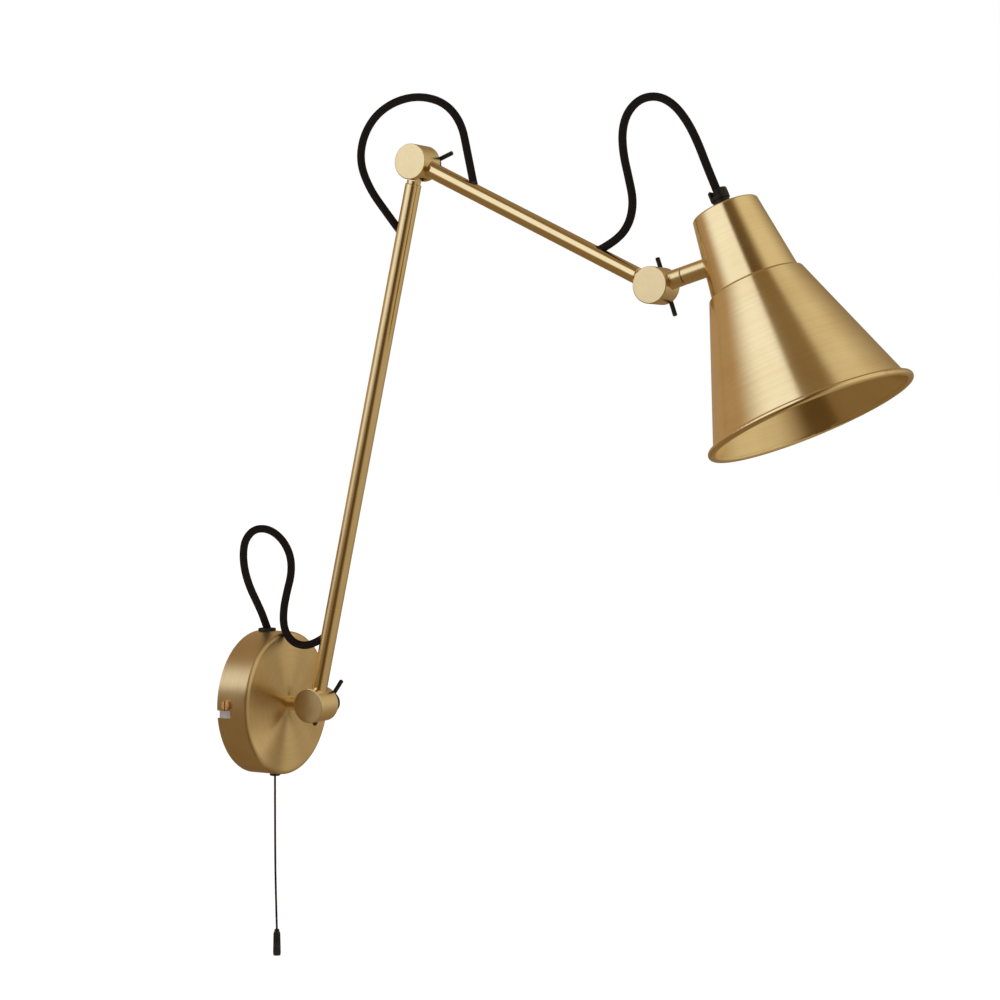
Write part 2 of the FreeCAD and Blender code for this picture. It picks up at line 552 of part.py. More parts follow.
def grommet():
    """Rubber grommet in the rose's top edge: outer flange, neck and inner lip."""
    centre = V(0, -GROMMET_OUT, 0)
    outside = ROSE_R + SEAT_GAP
    inside = math.sqrt(ROSE_IN_R ** 2 - (GROMMET_LIP_D / 2) ** 2) - SEAT_GAP
    flange = disc(GROMMET_D / 2, outside, outside + GROMMET_FLANGE_T, Z_AXIS, centre)
    flange = flange.makeFillet(GROMMET_ROUND, circles(flange, GROMMET_D / 2, outside + GROMMET_FLANGE_T))
    neck = disc(GROMMET_NECK_D / 2, inside - GROMMET_LIP_T, outside, Z_AXIS, centre)
    lip = disc(GROMMET_LIP_D / 2, inside - GROMMET_LIP_T, inside, Z_AXIS, centre)
    bore = FLEX_D / 2 + FLEX_GRIP_GAP
    top = outside + GROMMET_FLANGE_T
    mouth = Part.makeCone(bore, bore + GROMMET_MOUTH_OUT, GROMMET_MOUTH_DEPTH,
                          centre + Z_AXIS * (top - GROMMET_MOUTH_DEPTH), Z_AXIS)
    body = flange.fuse(neck).fuse(lip)
    return body.cut(disc(bore, 0, ROSE_D, Z_AXIS, centre)).cut(mouth)


def terminal_block():
    """Moulded terminal block on the bracket's plate, with a well over every screw."""
    low = V(-BLOCK_W / 2, -BRACKET_T - BLOCK_DEPTH, BLOCK_Z)
    body = block(low, low + V(BLOCK_W, BLOCK_DEPTH, BLOCK_H))
    for centre in block_screw_places():
        body = body.cut(disc(BLOCK_SCREW_D / 2 + SEAT_GAP, -BLOCK_SCREW_H * 2, 1, -Y_AXIS, centre))
    return body


def block_screw_places():
    """Centres of the terminal screws, on the block's front face."""
    pitch = BLOCK_W / BLOCK_WAYS
    front = -BRACKET_T - BLOCK_DEPTH
    first = -(BLOCK_WAYS - 1) / 2
    return [V((first + i) * pitch, front, BLOCK_Z + BLOCK_H / 2) for i in range(BLOCK_WAYS)]


def terminal_screws():
    """Brass clamping screws at the bottom of the terminal block's wells."""
    heads = []
    for centre in block_screw_places():
        head = disc(BLOCK_SCREW_D / 2, -BLOCK_SCREW_H * 2, -BLOCK_SCREW_H, -Y_AXIS, centre)
        top = centre + Y_AXIS * BLOCK_SCREW_H
        heads.append(slotted(head, top, -Y_AXIS, X_AXIS))
    return Part.makeCompound(heads)


def switch_base():
    """Height of the switch's underside."""
    return -math.sqrt(ROSE_IN_R ** 2 - (SWITCH_W / 2) ** 2) + SWITCH_OFF_ROSE


def pull_switch():
    """Sealed pull switch behind the rose's lower edge, with a well for its plunger."""
    low = V(-SWITCH_W / 2, -SWITCH_OUT - SWITCH_DEPTH / 2, switch_base())
    body = block(low, low + V(SWITCH_W, SWITCH_DEPTH, SWITCH_H))
    body = body.makeFillet(SWITCH_EDGE, [e for e in body.Edges if abs(e.tangentAt(0).z) > 0.9])
    centre = V(0, -SWITCH_OUT, 0)
    well = disc(PLUNGER_D / 2 + MOVE_GAP, PLUNGER_Z - PULL_TRAVEL - MOVE_GAP,
                PLUNGER_Z + PLUNGER_H + MOVE_GAP, Z_AXIS, centre)
    body = body.cut(well)
    return body.cut(disc(GUIDE_BORE / 2, -ROSE_D, PLUNGER_Z, Z_AXIS, centre))


def cord_guide():
    """Small bush that the pull cord runs through in the rose's lower edge."""
    centre = V(0, -SWITCH_OUT, 0)
    outside = -ROSE_R - SEAT_GAP
    flange = disc(GUIDE_FLANGE_D / 2, outside - GUIDE_FLANGE_T, outside, Z_AXIS, centre)
    flange = flange.makeFillet(GUIDE_FLANGE_T / 2, circles(flange, GUIDE_FLANGE_D / 2, outside - GUIDE_FLANGE_T))
    neck = disc(GUIDE_D / 2, outside, switch_base(), Z_AXIS, centre)
    return flange.fuse(neck).cut(disc(GUIDE_BORE / 2, -ROSE_D, 0, Z_AXIS, centre))


# ---- Pull cord ----
def pull_points():
    """The pull cord from its plunger to the toggle."""
    return [V(0, -SWITCH_OUT, PLUNGER_Z), *loop_points(PULL_ROUTE), *loop_points([PULL_END])]


def plunger():
    """Plunger that the cord pulls down inside the switch."""
    return disc(PLUNGER_D / 2, PLUNGER_Z, PLUNGER_Z + PLUNGER_H, Z_AXIS, V(0, -SWITCH_OUT, 0))


def toggle():
    """Tapered toggle at the foot of the pull cord."""
    x, out, up = PULL_END
    top, bottom = TOGGLE_TOP_D / 2, TOGGLE_BOTTOM_D / 2
    body = Part.makeCone(bottom, top, TOGGLE_L, V(0, 0, -TOGGLE_L), Z_AXIS)
    ends = circles(body, bottom, -TOGGLE_L) + circles(body, top, 0)
    body = body.makeFillet(TOGGLE_ROUND, ends)
    body.translate(V(x, -out, up))
    return body


# ---- Swivel, modelled with the head knuckle's axis at the origin and the stub along +Z ----
def swivel_stub():
    """Inner half of the swivel, fixed in the head drum, with a pin that the sleeve turns on."""
    body = disc(STUB_D / 2, DRUM_R - SEAT_DEPTH, STUB_L)
    body = body.makeChamfer(SWIVEL_CHAMFER, circles(body, STUB_D / 2, STUB_L))
    end = SHADE_REACH + SLEEVE_TAIL + FACE_GAP
    pin = disc(SWIVEL_PIN_D / 2, STUB_L, end)
    return body.fuse(pin).cut(disc(RETAINER_SCREW_D / 2 + SEAT_GAP, end - RETAINER_SCREW_L, end + 1))


def swivel_sleeve():
    """Outer half of the swivel, screwed to the shade's neck, with a bore for the pin."""
    start = STUB_L + SWIVEL_GROOVE
    body = disc(STUB_D / 2, start, SHADE_REACH + SHADE_WALL)
    body = body.makeChamfer(SWIVEL_CHAMFER, circles(body, STUB_D / 2, start))
    body = put(body, STUB_TURN, HEAD_AXIS).cut(neck_solid(0))
    tail = disc(SLEEVE_THREAD_D / 2, SHADE_REACH - SLEEVE_NUT_H, SHADE_REACH + SLEEVE_TAIL)
    body = body.fuse(put(tail, STUB_TURN, HEAD_AXIS))
    bore = disc(SWIVEL_PIN_D / 2 + RUNNING, 0, SHADE_REACH * 2)
    return body.cut(put(bore, STUB_TURN, HEAD_AXIS)).removeSplitter()


def sleeve_nut():
    """Nut inside the neck that holds the sleeve."""
    low = SHADE_REACH + SHADE_WALL + NUT_OFF_WALL
    return hexagon(SLEEVE_NUT_AF, low, low + SLEEVE_NUT_H, SLEEVE_THREAD_D / 2 + SEAT_GAP)


def retainer_washer():
    """Washer on the pin's end that keeps the sleeve on."""
    low = SHADE_REACH + SLEEVE_TAIL + FACE_GAP
    return ring(RETAINER_D / 2, RETAINER_SCREW_D / 2 + HOLE_GAP, low, low + RETAINER_T)


def retainer_screw():
    """Screw in the pin's end."""
    under = SHADE_REACH + SLEEVE_TAIL + FACE_GAP + RETAINER_T
    head = disc(RETAINER_HEAD_D / 2, under, under + RETAINER_HEAD_H)
    shank = disc(RETAINER_SCREW_D / 2, under - RETAINER_SCREW_L + RETAINER_T + FACE_GAP, under)
    return slotted(head.fuse(shank), V(0, 0, under + RETAINER_HEAD_H), Z_AXIS, X_AXIS)


# ---- Shade, modelled with its top at the origin and its mouth towards -Z ----
def shade_outline(inset):
    """Half outline of the shade, or of its hollow where inset is the wall's thickness."""
    neck_in = inset / math.cos(math.radians(NECK_SLOPE))
    bead_z = BEAD_R - SHADE_L
    flare_top_r = NECK_BOTTOM_R + STEP_OUT
    flare_end_r = RIM_R - 2 * BEAD_R + SHADE_WALL
    flare_angle = math.atan((flare_end_r - flare_top_r) / (SHADE_L - BEAD_R - NECK_L - STEP_H))
    flare_in = inset / math.cos(flare_angle)
    return [(0, -inset), (NECK_TOP_R - neck_in, -inset), (NECK_BOTTOM_R - neck_in, -NECK_L - inset / 2),
            (flare_top_r - flare_in, -NECK_L - STEP_H - inset / 2), (flare_end_r - flare_in, bead_z),
            (0, bead_z)]


def to_shade(shape):
    """Turn and move a piece from the shade's own frame to its place."""
    return put(shape, -SHADE_TILT, SHADE_TOP)


def neck_solid(inset):
    """The neck as a full cone, in place, for trimming what meets its wall."""
    cone = Part.makeCone(NECK_BOTTOM_R - inset, NECK_TOP_R - inset, NECK_L, V(0, 0, -NECK_L), Z_AXIS)
    return to_shade(cone)


def shade():
    """Spun brass shade: tapered neck, rounded step, flare and rolled rim."""
    outer = revolve(shade_outline(0))
    outer = outer.makeFillet(TOP_ROUND, circles(outer, NECK_TOP_R, 0))
    crease = circles(outer, NECK_BOTTOM_R, -NECK_L)
    outer = outer.makeFillet(STEP_CREASE, crease)
    shoulder = circles(outer, NECK_BOTTOM_R + STEP_OUT, -NECK_L - STEP_H)
    outer = outer.makeFillet(STEP_ROUND, shoulder)
    hollow = revolve(shade_outline(SHADE_WALL))
    hollow = hollow.fuse(disc(RIM_R - 2 * BEAD_R - SHADE_WALL / 4, -SHADE_L * 2, BEAD_R - SHADE_L))
    shell = outer.cut(hollow)
    bead = Part.makeTorus(RIM_R - BEAD_R, BEAD_R, V(0, 0, BEAD_R - SHADE_L), Z_AXIS)
    shell = shell.fuse(bead)
    shell = shell.cut(disc(NIPPLE_D / 2 + HOLE_GAP, -NECK_L / 2, 1))
    side = put(disc(SLEEVE_THREAD_D / 2 + HOLE_GAP, 0, SHADE_REACH + NECK_TOP_R), STUB_TURN, HEAD_AXIS)
    return to_shade(shell).cut(side)


def cord_grip():
    """Nylon cord grip on the shade's top: a waist below a collar with two ears."""
    body = disc(GRIP_D / 2, 0, GRIP_L - GRIP_COLLAR_L / 2)
    collar = disc(GRIP_COLLAR_D / 2, GRIP_L - GRIP_COLLAR_L, GRIP_L)
    rims = circles(collar, GRIP_COLLAR_D / 2, GRIP_L) + circles(collar, GRIP_COLLAR_D / 2, GRIP_L - GRIP_COLLAR_L)
    body = body.fuse(collar.makeFillet(GRIP_ROUND, rims))
    notch = block(V(-GRIP_COLLAR_D, -GRIP_NOTCH_W / 2, GRIP_L - GRIP_NOTCH_DEPTH),
                  V(GRIP_COLLAR_D, GRIP_NOTCH_W / 2, GRIP_L + 1))
    body = body.cut(notch).cut(disc(FLEX_D / 2 + FLEX_GRIP_GAP, -1, GRIP_L + 1))
    return to_shade(body.cut(disc(NIPPLE_D / 2 + SEAT_GAP, -1, NIPPLE_UP)))


def nipple():
    """Hollow threaded tube that joins the grip, the shade and the lampholder."""
    return to_shade(ring(NIPPLE_D / 2, NIPPLE_BORE / 2, -NIPPLE_DOWN, NIPPLE_UP))


def nipple_washer():
    """Washer under the shade's top."""
    return to_shade(ring(NIPPLE_WASHER_D / 2, NIPPLE_D / 2 + HOLE_GAP,
                         -SHADE_WALL - NIPPLE_WASHER_T, -SHADE_WALL))


def nipple_nut():
    """Nut under the shade's top."""
    top = -SHADE_WALL - NIPPLE_WASHER_T
    return to_shade(hexagon(NIPPLE_NUT_AF, top - NIPPLE_NUT_H, top, NIPPLE_D / 2 + SEAT_GAP))


def holder_cap():
    """Domed cap of the lampholder, screwed on the nipple."""
    body = disc(CAP_D / 2, -CAP_TOP - CAP_L, -CAP_TOP)
    body = body.makeFillet(CAP_ROUND, circles(body, CAP_D / 2, -CAP_TOP))
    spigot_top = -CAP_TOP - CAP_L + HOLDER_SPIGOT_L
    room = disc(CAP_D / 2 - CAP_WALL, -CAP_TOP - CAP_L - 1, spigot_top)
    room = room.fuse(disc(CAP_D / 2 - CAP_ROUND, spigot_top, -NIPPLE_DOWN))
    return to_shade(body.cut(room).cut(disc(NIPPLE_D / 2 + SEAT_GAP, -NIPPLE_DOWN - 1, 0)))


def holder_body():
    """Lampholder's body with its lamp thread, open at the mouth."""
    top = -CAP_TOP - CAP_L
    body = disc(HOLDER_D / 2, top - HOLDER_L, top)
    body = body.fuse(disc(CAP_D / 2 - CAP_WALL - SEAT_GAP, top, top + HOLDER_SPIGOT_L - SEAT_GAP))
    ring_top = top - HOLDER_RING_DROP
    body = body.fuse(disc(HOLDER_RING_D / 2, ring_top - HOLDER_RING_T, ring_top))
    mouth = top - HOLDER_L
    body = body.cut(disc(LAMP_THREAD_D / 2, mouth - 1, mouth + LAMP_THREAD_DEPTH))
    pocket_top = mouth + LAMP_THREAD_DEPTH + CONTACT_H
    body = body.cut(disc(CONTACT_D / 2 + SEAT_GAP, mouth, pocket_top))
    body = body.cut(disc(CONTACT_PIN_D / 2 + SEAT_GAP, mouth, pocket_top + CONTACT_PIN_L))
    return to_shade(body.removeSplitter())


def lamp_contact():
    """Brass centre contact in its pocket, flush with the bottom of the lamp thread."""
    bottom = -CAP_TOP - CAP_L - HOLDER_L + LAMP_THREAD_DEPTH
    body = disc(CONTACT_D / 2, bottom, bottom + CONTACT_H)
    pin_start = bottom + CONTACT_H
    return to_shade(body.fuse(disc(CONTACT_PIN_D / 2, pin_start, pin_start + CONTACT_PIN_L)))


def shade_flex():
    """The flex from the grip's top through the nipple into the lampholder's cap."""
    return to_shade(disc(FLEX_D / 2, -NIPPLE_DOWN - FLEX_IN_CAP, GRIP_L))


# ---- The whole sconce ----
def run_direction(points, first, second):
    """Unit vector from one route point to another."""
    return (points[second] - points[first]).normalize()


def rose_flex(end, lean):
    """The flex from the terminal block up to the grommet, ending square to the loop's lean."""
    straight = disc(FLEX_D / 2, BLOCK_Z + BLOCK_H, end.z + FLEX_D, Z_AXIS, V(end.x, end.y, 0))
    return straight.cut(disc(2 * FLEX_D, 0, 2 * FLEX_D, lean, end))


def flexes():
    """The flex: three loops round the knuckles and the stretches held between them."""
    base, elbow, head = base_loop_points(), elbow_loop_points(), head_loop_points()
    lower = held_points(BASE_AXIS, LOWER_TURN, LOWER_LENGTH,
                        run_direction(base, -2, -1), run_direction(elbow, 0, 1))
    upper = held_points(ELBOW_AXIS, UPPER_TURN, UPPER_LENGTH,
                        run_direction(elbow, -2, -1), run_direction(head, 0, 1))
    solids = {"flex_base_loop": cord(base, FLEX_D), "flex_elbow_loop": cord(elbow, FLEX_D),
              "flex_head_loop": cord(head, FLEX_D), "flex_in_lower_arm": held_cord(lower, FLEX_D),
              "flex_in_upper_arm": held_cord(upper, FLEX_D), "flex_in_shade": shade_flex()}
    solids["flex_in_rose"] = rose_flex(base[0], run_direction(base, 0, 1))
    for name, points in (("base_loop", base), ("elbow_loop", elbow), ("head_loop", head)):
        tell(name, points, solids["flex_" + name], FLEX_D)
    return solids, (lower, base, elbow), (upper, elbow, head)


def arm(pivot, turn, length, routes):
    """An arm's tube in place, pierced for the flex."""
    held, incoming, outgoing = routes
    tube = put(arm_tube(length), turn, pivot)
    return pierced(tube, held, run_direction(incoming, -2, -1), run_direction(outgoing, 0, 1))


def knuckle(name, pivot, turn, inner_turn, travel, seat_d, bar_turn):
    """A knuckle's drum, washers, clamp screw and cross bar."""
    return {name + "_drum": put(drum(inner_turn - turn, travel, seat_d), turn, pivot),
            name + "_washers": put(washers(), turn, pivot),
            name + "_clamp_screw": put(clamp_screw(), bar_turn, pivot),
            name + "_clamp_bar": put(clamp_bar(), bar_turn, pivot)}


def travels():
    """Each knuckle's travel in degrees from the stored pose, positive about +X."""
    elbow_now = 180.0 + LOWER_TURN - UPPER_TURN
    base = (LEAN_RANGE[0] - LOWER_LEAN, LEAN_RANGE[1] - LOWER_LEAN)
    elbow = (elbow_now - ELBOW_RANGE[1], elbow_now - ELBOW_RANGE[0])
    return base, elbow, TILT_RANGE


def sconce():
    """Every sub-part, by name."""
    flex, lower_routes, upper_routes = flexes()
    base_travel, elbow_travel, head_travel = travels()
    parts = {
        "wall_bracket": bracket(), "rose_cup": rose(), "rose_screws": side_screws(),
        "earth_screw": earth_screw(), "stem": put(stem(), 90.0, BASE_AXIS), "stem_washer": stem_washer(),
        "stem_nut": stem_nut(), "flex_grommet": grommet(), "terminal_block": terminal_block(),
        "terminal_screws": terminal_screws(), "pull_switch": pull_switch(), "cord_guide": cord_guide(),
        "switch_plunger": plunger(), "pull_cord": cord(pull_points(), PULL_D), "pull_toggle": toggle(),
        "lower_arm_tube": arm(BASE_AXIS, LOWER_TURN, LOWER_LENGTH, lower_routes),
        "lower_arm_tongue": put(arm_tongue(), LOWER_TURN, ELBOW_AXIS),
        "upper_arm_tube": arm(ELBOW_AXIS, UPPER_TURN, UPPER_LENGTH, upper_routes),
        "upper_arm_tongue": put(arm_tongue(), UPPER_TURN, HEAD_AXIS),
        "swivel_stub": put(swivel_stub(), STUB_TURN, HEAD_AXIS), "swivel_sleeve": swivel_sleeve(),
        "sleeve_nut": put(sleeve_nut(), STUB_TURN, HEAD_AXIS),
        "retainer_washer": put(retainer_washer(), STUB_TURN, HEAD_AXIS),
        "retainer_screw": put(retainer_screw(), STUB_TURN, HEAD_AXIS),
        "shade": shade(), "cord_grip": cord_grip(), "nipple": nipple(), "nipple_washer": nipple_washer(),
        "nipple_nut": nipple_nut(), "holder_cap": holder_cap(), "holder_body": holder_body(),
        "lamp_contact": lamp_contact(),
    }
    parts.update(flex)
    parts.update(knuckle("base", BASE_AXIS, LOWER_TURN, -90.0, base_travel, ARM_D, BASE_BAR_TURN))
    parts.update(knuckle("elbow", ELBOW_AXIS, UPPER_TURN, LOWER_TURN + 180.0, elbow_travel, ARM_D,
                         ELBOW_BAR_TURN))
    parts.update(knuckle("head", HEAD_AXIS, STUB_TURN, UPPER_TURN - 180.0, head_travel, STUB_D,
                         HEAD_BAR_TURN))
    return parts


def main():
    """Build every sub-part, check it and write it out."""
    os.makedirs("parts", exist_ok=True)
    parts = sconce()
    tell("pull_cord", pull_points(), parts["pull_cord"], PULL_D)
    for name, point in (("base axis", BASE_AXIS), ("elbow axis", ELBOW_AXIS), ("head axis", HEAD_AXIS),
                        ("shade top", SHADE_TOP), ("swivel", heading(STUB_TURN)), ("shade down", SHADE_DOWN)):
        print(name, [round(v, 4) for v in point])
    print("travels", [[round(v, 2) for v in pair] for pair in travels()])
    for name, shape in parts.items():
        if not shape.isValid():
            print("not valid:", name)
        shape.exportStep(os.path.join("parts", name + ".step"))
    print(len(parts), "sub-parts")


main()
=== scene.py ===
"""Looks of a swing arm wall sconce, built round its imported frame."""

import logging
import math
from dataclasses import dataclass, field
from enum import Enum
from typing import Mapping, Sequence

import bmesh
import bpy
from mathutils import Matrix, Vector


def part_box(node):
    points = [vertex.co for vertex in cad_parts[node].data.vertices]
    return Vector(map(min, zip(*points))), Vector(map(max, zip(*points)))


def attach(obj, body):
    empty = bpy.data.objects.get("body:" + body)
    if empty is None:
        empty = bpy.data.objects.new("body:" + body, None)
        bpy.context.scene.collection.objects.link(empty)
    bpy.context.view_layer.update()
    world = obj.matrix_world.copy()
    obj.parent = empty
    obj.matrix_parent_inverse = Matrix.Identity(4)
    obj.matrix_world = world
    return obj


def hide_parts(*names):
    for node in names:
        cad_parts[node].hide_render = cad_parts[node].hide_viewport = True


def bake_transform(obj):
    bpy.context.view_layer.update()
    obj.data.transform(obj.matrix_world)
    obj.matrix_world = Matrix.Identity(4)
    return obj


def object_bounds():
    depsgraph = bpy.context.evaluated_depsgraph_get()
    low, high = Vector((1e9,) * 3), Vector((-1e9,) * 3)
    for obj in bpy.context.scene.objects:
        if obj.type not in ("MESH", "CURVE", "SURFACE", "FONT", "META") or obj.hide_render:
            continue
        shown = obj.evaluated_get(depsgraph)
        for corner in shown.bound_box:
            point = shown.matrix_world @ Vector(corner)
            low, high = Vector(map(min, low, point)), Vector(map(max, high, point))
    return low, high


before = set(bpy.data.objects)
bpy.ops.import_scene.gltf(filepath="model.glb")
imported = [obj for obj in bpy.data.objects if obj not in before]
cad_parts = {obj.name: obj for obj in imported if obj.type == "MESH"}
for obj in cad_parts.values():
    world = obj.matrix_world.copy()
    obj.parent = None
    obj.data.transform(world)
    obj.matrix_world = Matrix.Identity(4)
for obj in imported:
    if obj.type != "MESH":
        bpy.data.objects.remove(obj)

LOG = logging.getLogger("sconce")
CAD_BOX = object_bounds()
MM = 0.001
DEGREES = 180.0 / math.pi
CORD_STEPS = 12
SPLINE_ORDER = 3
MIX_FACTOR, MIX_FIRST, MIX_SECOND, MIX_RESULT = 0, 6, 7, 2

Triple = tuple[float, float, float]


# ---------------------------------------------------------------- shader maths
class Signal:
    """A shader value that adds its Math nodes when it is used in an expression."""

    def __init__(self, book: "Book", socket: bpy.types.NodeSocket | None) -> None:
        """Keep the node tree's book and the socket that gives the value."""
        self.book = book
        self.socket = socket

    def _math(self, operation: str, *values: "Signal | float") -> "Signal":
        """Add one Math node and return its result."""
        return self.book.add("ShaderNodeMath", {"operation": operation}, dict(enumerate(values)))

    def __add__(self, other: "Signal | float") -> "Signal":
        """self + other."""
        return self._math("ADD", self, other)

    def __radd__(self, other: float) -> "Signal":
        """other + self."""
        return self._math("ADD", other, self)

    def __sub__(self, other: "Signal | float") -> "Signal":
        """self - other."""
        return self._math("SUBTRACT", self, other)

    def __rsub__(self, other: float) -> "Signal":
        """other - self."""
        return self._math("SUBTRACT", other, self)

    def __mul__(self, other: "Signal | float") -> "Signal":
        """self * other."""
        return self._math("MULTIPLY", self, other)

    def __truediv__(self, other: "Signal | float") -> "Signal":
        """self / other."""
        return self._math("DIVIDE", self, other)

    def __abs__(self) -> "Signal":
        """Size without sign."""
        return self._math("ABSOLUTE", self)

    def sine(self) -> "Signal":
        """Sine of a value in radians."""
        return self._math("SINE", self)

    def root(self) -> "Signal":
        """Square root."""
        return self._math("SQRT", self)

    def turn_from(self, other: "Signal") -> "Signal":
        """Angle in radians whose tangent is self / other."""
        return self._math("ARCTAN2", self, other)

    def rise(self) -> "Signal":
        """Angle in radians whose sine is self."""
        return self._math("ARCSINE", self)

    def step(self, low: float, high: float, start: float = 0.0, end: float = 1.0) -> "Signal":
        """Ease from start to end while self goes from low to high.

        Args:
            low: value at which the ease starts.
            high: value at which it ends.
            start: result below low.
            end: result above high.

        Returns:
            The eased value.
        """
        return self.book.add(
            "ShaderNodeMapRange", {"interpolation_type": "SMOOTHSTEP"},
            {"Value": self, "From Min": low, "From Max": high, "To Min": start, "To Max": end})


class Book:
    """The nodes of one material or world."""

    def __init__(self, owner: "bpy.types.Material | bpy.types.World") -> None:
        """Start with an empty node tree.

        Args:
            owner: the material or world that the nodes belong to.
        """
        owner.use_nodes = True
        self.owner = owner
        self.tree = owner.node_tree
        self.tree.nodes.clear()

    def add(self, kind: str, settings: Mapping[str, object] | None = None,
            inputs: Mapping[str | int, object] | None = None, output: str | int = 0) -> Signal:
        """Add any node.

        Args:
            kind: the node's type.
            settings: its own settings by name.
            inputs: a value or a Signal for each socket that is set.
            output: the socket to return.

        Returns:
            The chosen output as a Signal.
        """
        node = self.tree.nodes.new(kind)
        for name, value in (settings or {}).items():
            setattr(node, name, value)
        for name, value in (inputs or {}).items():
            if isinstance(value, Signal):
                self.tree.links.new(value.socket, node.inputs[name])
            else:
                node.inputs[name].default_value = value
        return Signal(self, node.outputs[output] if node.outputs else None)

    def split(self, vector: Signal) -> tuple[Signal, Signal, Signal]:
        """Take a vector apart.

        Args:
            vector: the vector.

        Returns:
            Its x, y and z.
        """
        first = self.add("ShaderNodeSeparateXYZ", inputs={"Vector": vector})
        node = first.socket.node
        return first, Signal(self, node.outputs[1]), Signal(self, node.outputs[2])

    def join(self, x: "Signal | float", y: "Signal | float", z: "Signal | float") -> Signal:
        """A vector from three values."""
        return self.add("ShaderNodeCombineXYZ", inputs={0: x, 1: y, 2: z})

    def noise(self, vector: Signal, scale: float, detail: float = 2.0,
              roughness: float = 0.5) -> Signal:
        """A noise value, about 0.5 on average.

        Args:
            vector: where the noise is read.
            scale: how many of its swells lie along a unit of the vector.
            detail: how many finer layers it has.
            roughness: how strong the finer layers are.

        Returns:
            The noise.
        """
        return self.add("ShaderNodeTexNoise", inputs={
            "Vector": vector, "Scale": scale, "Detail": detail, "Roughness": roughness})

    def blend(self, factor: "Signal | float", first: "Triple | Signal",
              second: "Triple | Signal") -> Signal:
        """A colour between two colours.

        Args:
            factor: 0 for the first colour, 1 for the second.
            first: the first colour.
            second: the second colour.

        Returns:
            The mixed colour.
        """
        return self.add("ShaderNodeMix", {"data_type": "RGBA"}, {
            MIX_FACTOR: factor,
            MIX_FIRST: first if isinstance(first, Signal) else (*first, 1.0),
            MIX_SECOND: second if isinstance(second, Signal) else (*second, 1.0)},
            output=MIX_RESULT)

    def bump(self, height: Signal, distance: float) -> Signal:
        """A normal from a height.

        Args:
            height: the height, from 0 to 1.
            distance: what a height of 1 stands for, in metres.

        Returns:
            The bent normal.
        """
        return self.add("ShaderNodeBump", inputs={
            "Strength": 1.0, "Distance": distance, "Height": height}, output="Normal")


@dataclass(frozen=True)
class Spindle:
    """The axis that a pattern goes round: a point on it and the turn from +Z, in degrees."""

    centre: Triple = (0.0, 0.0, 0.0)
    turn: Triple = (0.0, 0.0, 0.0)

    def coordinates(self, book: Book) -> tuple[Signal, Signal, Signal, Signal]:
        """Coordinates on the axis.

        Args:
            book: the nodes to add to.

        Returns:
            The place on the spindle as a vector, then across, across the other way, and along.
        """
        place = book.add("ShaderNodeTexCoord", output="Object")
        local = book.add("ShaderNodeMapping", {"vector_type": "TEXTURE"}, {
            "Vector": place, "Location": self.centre,
            "Rotation": tuple(math.radians(t) for t in self.turn)})
        return (local, *book.split(local))


# ---------------------------------------------------------------- finishes
class Finish:
    """What every finish shares: a name and a shader with a colour, a roughness and a normal."""

    name: str

    def start(self) -> Book:
        """A new material's nodes."""
        return Book(bpy.data.materials.new(self.name))

    @staticmethod
    def close(book: Book, inputs: Mapping[str, object]) -> bpy.types.Material:
        """Put the shader's sockets together.

        Args:
            book: the material's nodes.
            inputs: a value or a Signal for each of the shader's sockets that is set.

        Returns:
            The material.
        """
        shader = book.add("ShaderNodeBsdfPrincipled", inputs=inputs)
        book.add("ShaderNodeOutputMaterial", inputs={"Surface": shader})
        return book.owner


@dataclass(frozen=True)
class SatinBrass(Finish):
    """Brass brushed round a spindle: fine rings that stretch each highlight along it.

    groove is the rings' width and depth their depth, in metres. fan bends the normal in
    sectors round the spindle, as a flat face turned on a lathe does.
    """

    name: str
    spindle: Spindle
    bright: Triple = (0.92, 0.76, 0.46)
    deep: Triple = (0.86, 0.69, 0.39)
    roughness: float = 0.17
    groove: float = 0.0005
    depth: float = 0.00004
    fan: float = 0.0
    drift: float = 0.004
    fan_scale: float = 1.15
    cloud_scale: float = 38.0
    streak_scale: float = 900.0
    streak_drift: float = 12.0
    grain_gloss: float = 0.10
    cloud_gloss: float = 0.06

    def make(self) -> bpy.types.Material:
        """Build the material.

        Returns:
            The material.
        """
        book = self.start()
        local, x, y, along = self.spindle.coordinates(book)
        radius = (x * x + y * y).root()
        count = 1.0 / self.groove
        rings = book.join(along * count, radius * count, (x + y) * (self.drift * count))
        grain = book.noise(rings, scale=1.0, detail=3.0, roughness=0.65)
        cloud = book.noise(local, self.cloud_scale)
        streaks = book.join(along * self.streak_scale, radius * self.streak_scale,
                            x * self.streak_drift)
        streak = book.noise(streaks, scale=1.0, detail=1.0)
        tone = cloud.step(0.35, 0.65) * 0.6 + streak.step(0.3, 0.7) * 0.4
        normal = book.bump(grain, self.depth)
        if self.fan:
            turn = book.join(x / radius, y / radius, 0.0)
            sway = (book.noise(turn, self.fan_scale, detail=0.0) - 0.5) * radius
            normal = book.add("ShaderNodeBump", inputs={
                "Strength": 1.0, "Distance": self.fan, "Height": sway, "Normal": normal})
        gloss = (grain - 0.5) * self.grain_gloss
        return self.close(book, {
            "Base Color": book.blend(tone, self.deep, self.bright),
            "Metallic": 1.0,
            "Roughness": self.roughness + gloss + (cloud - 0.5) * self.cloud_gloss,
            "Normal": normal})


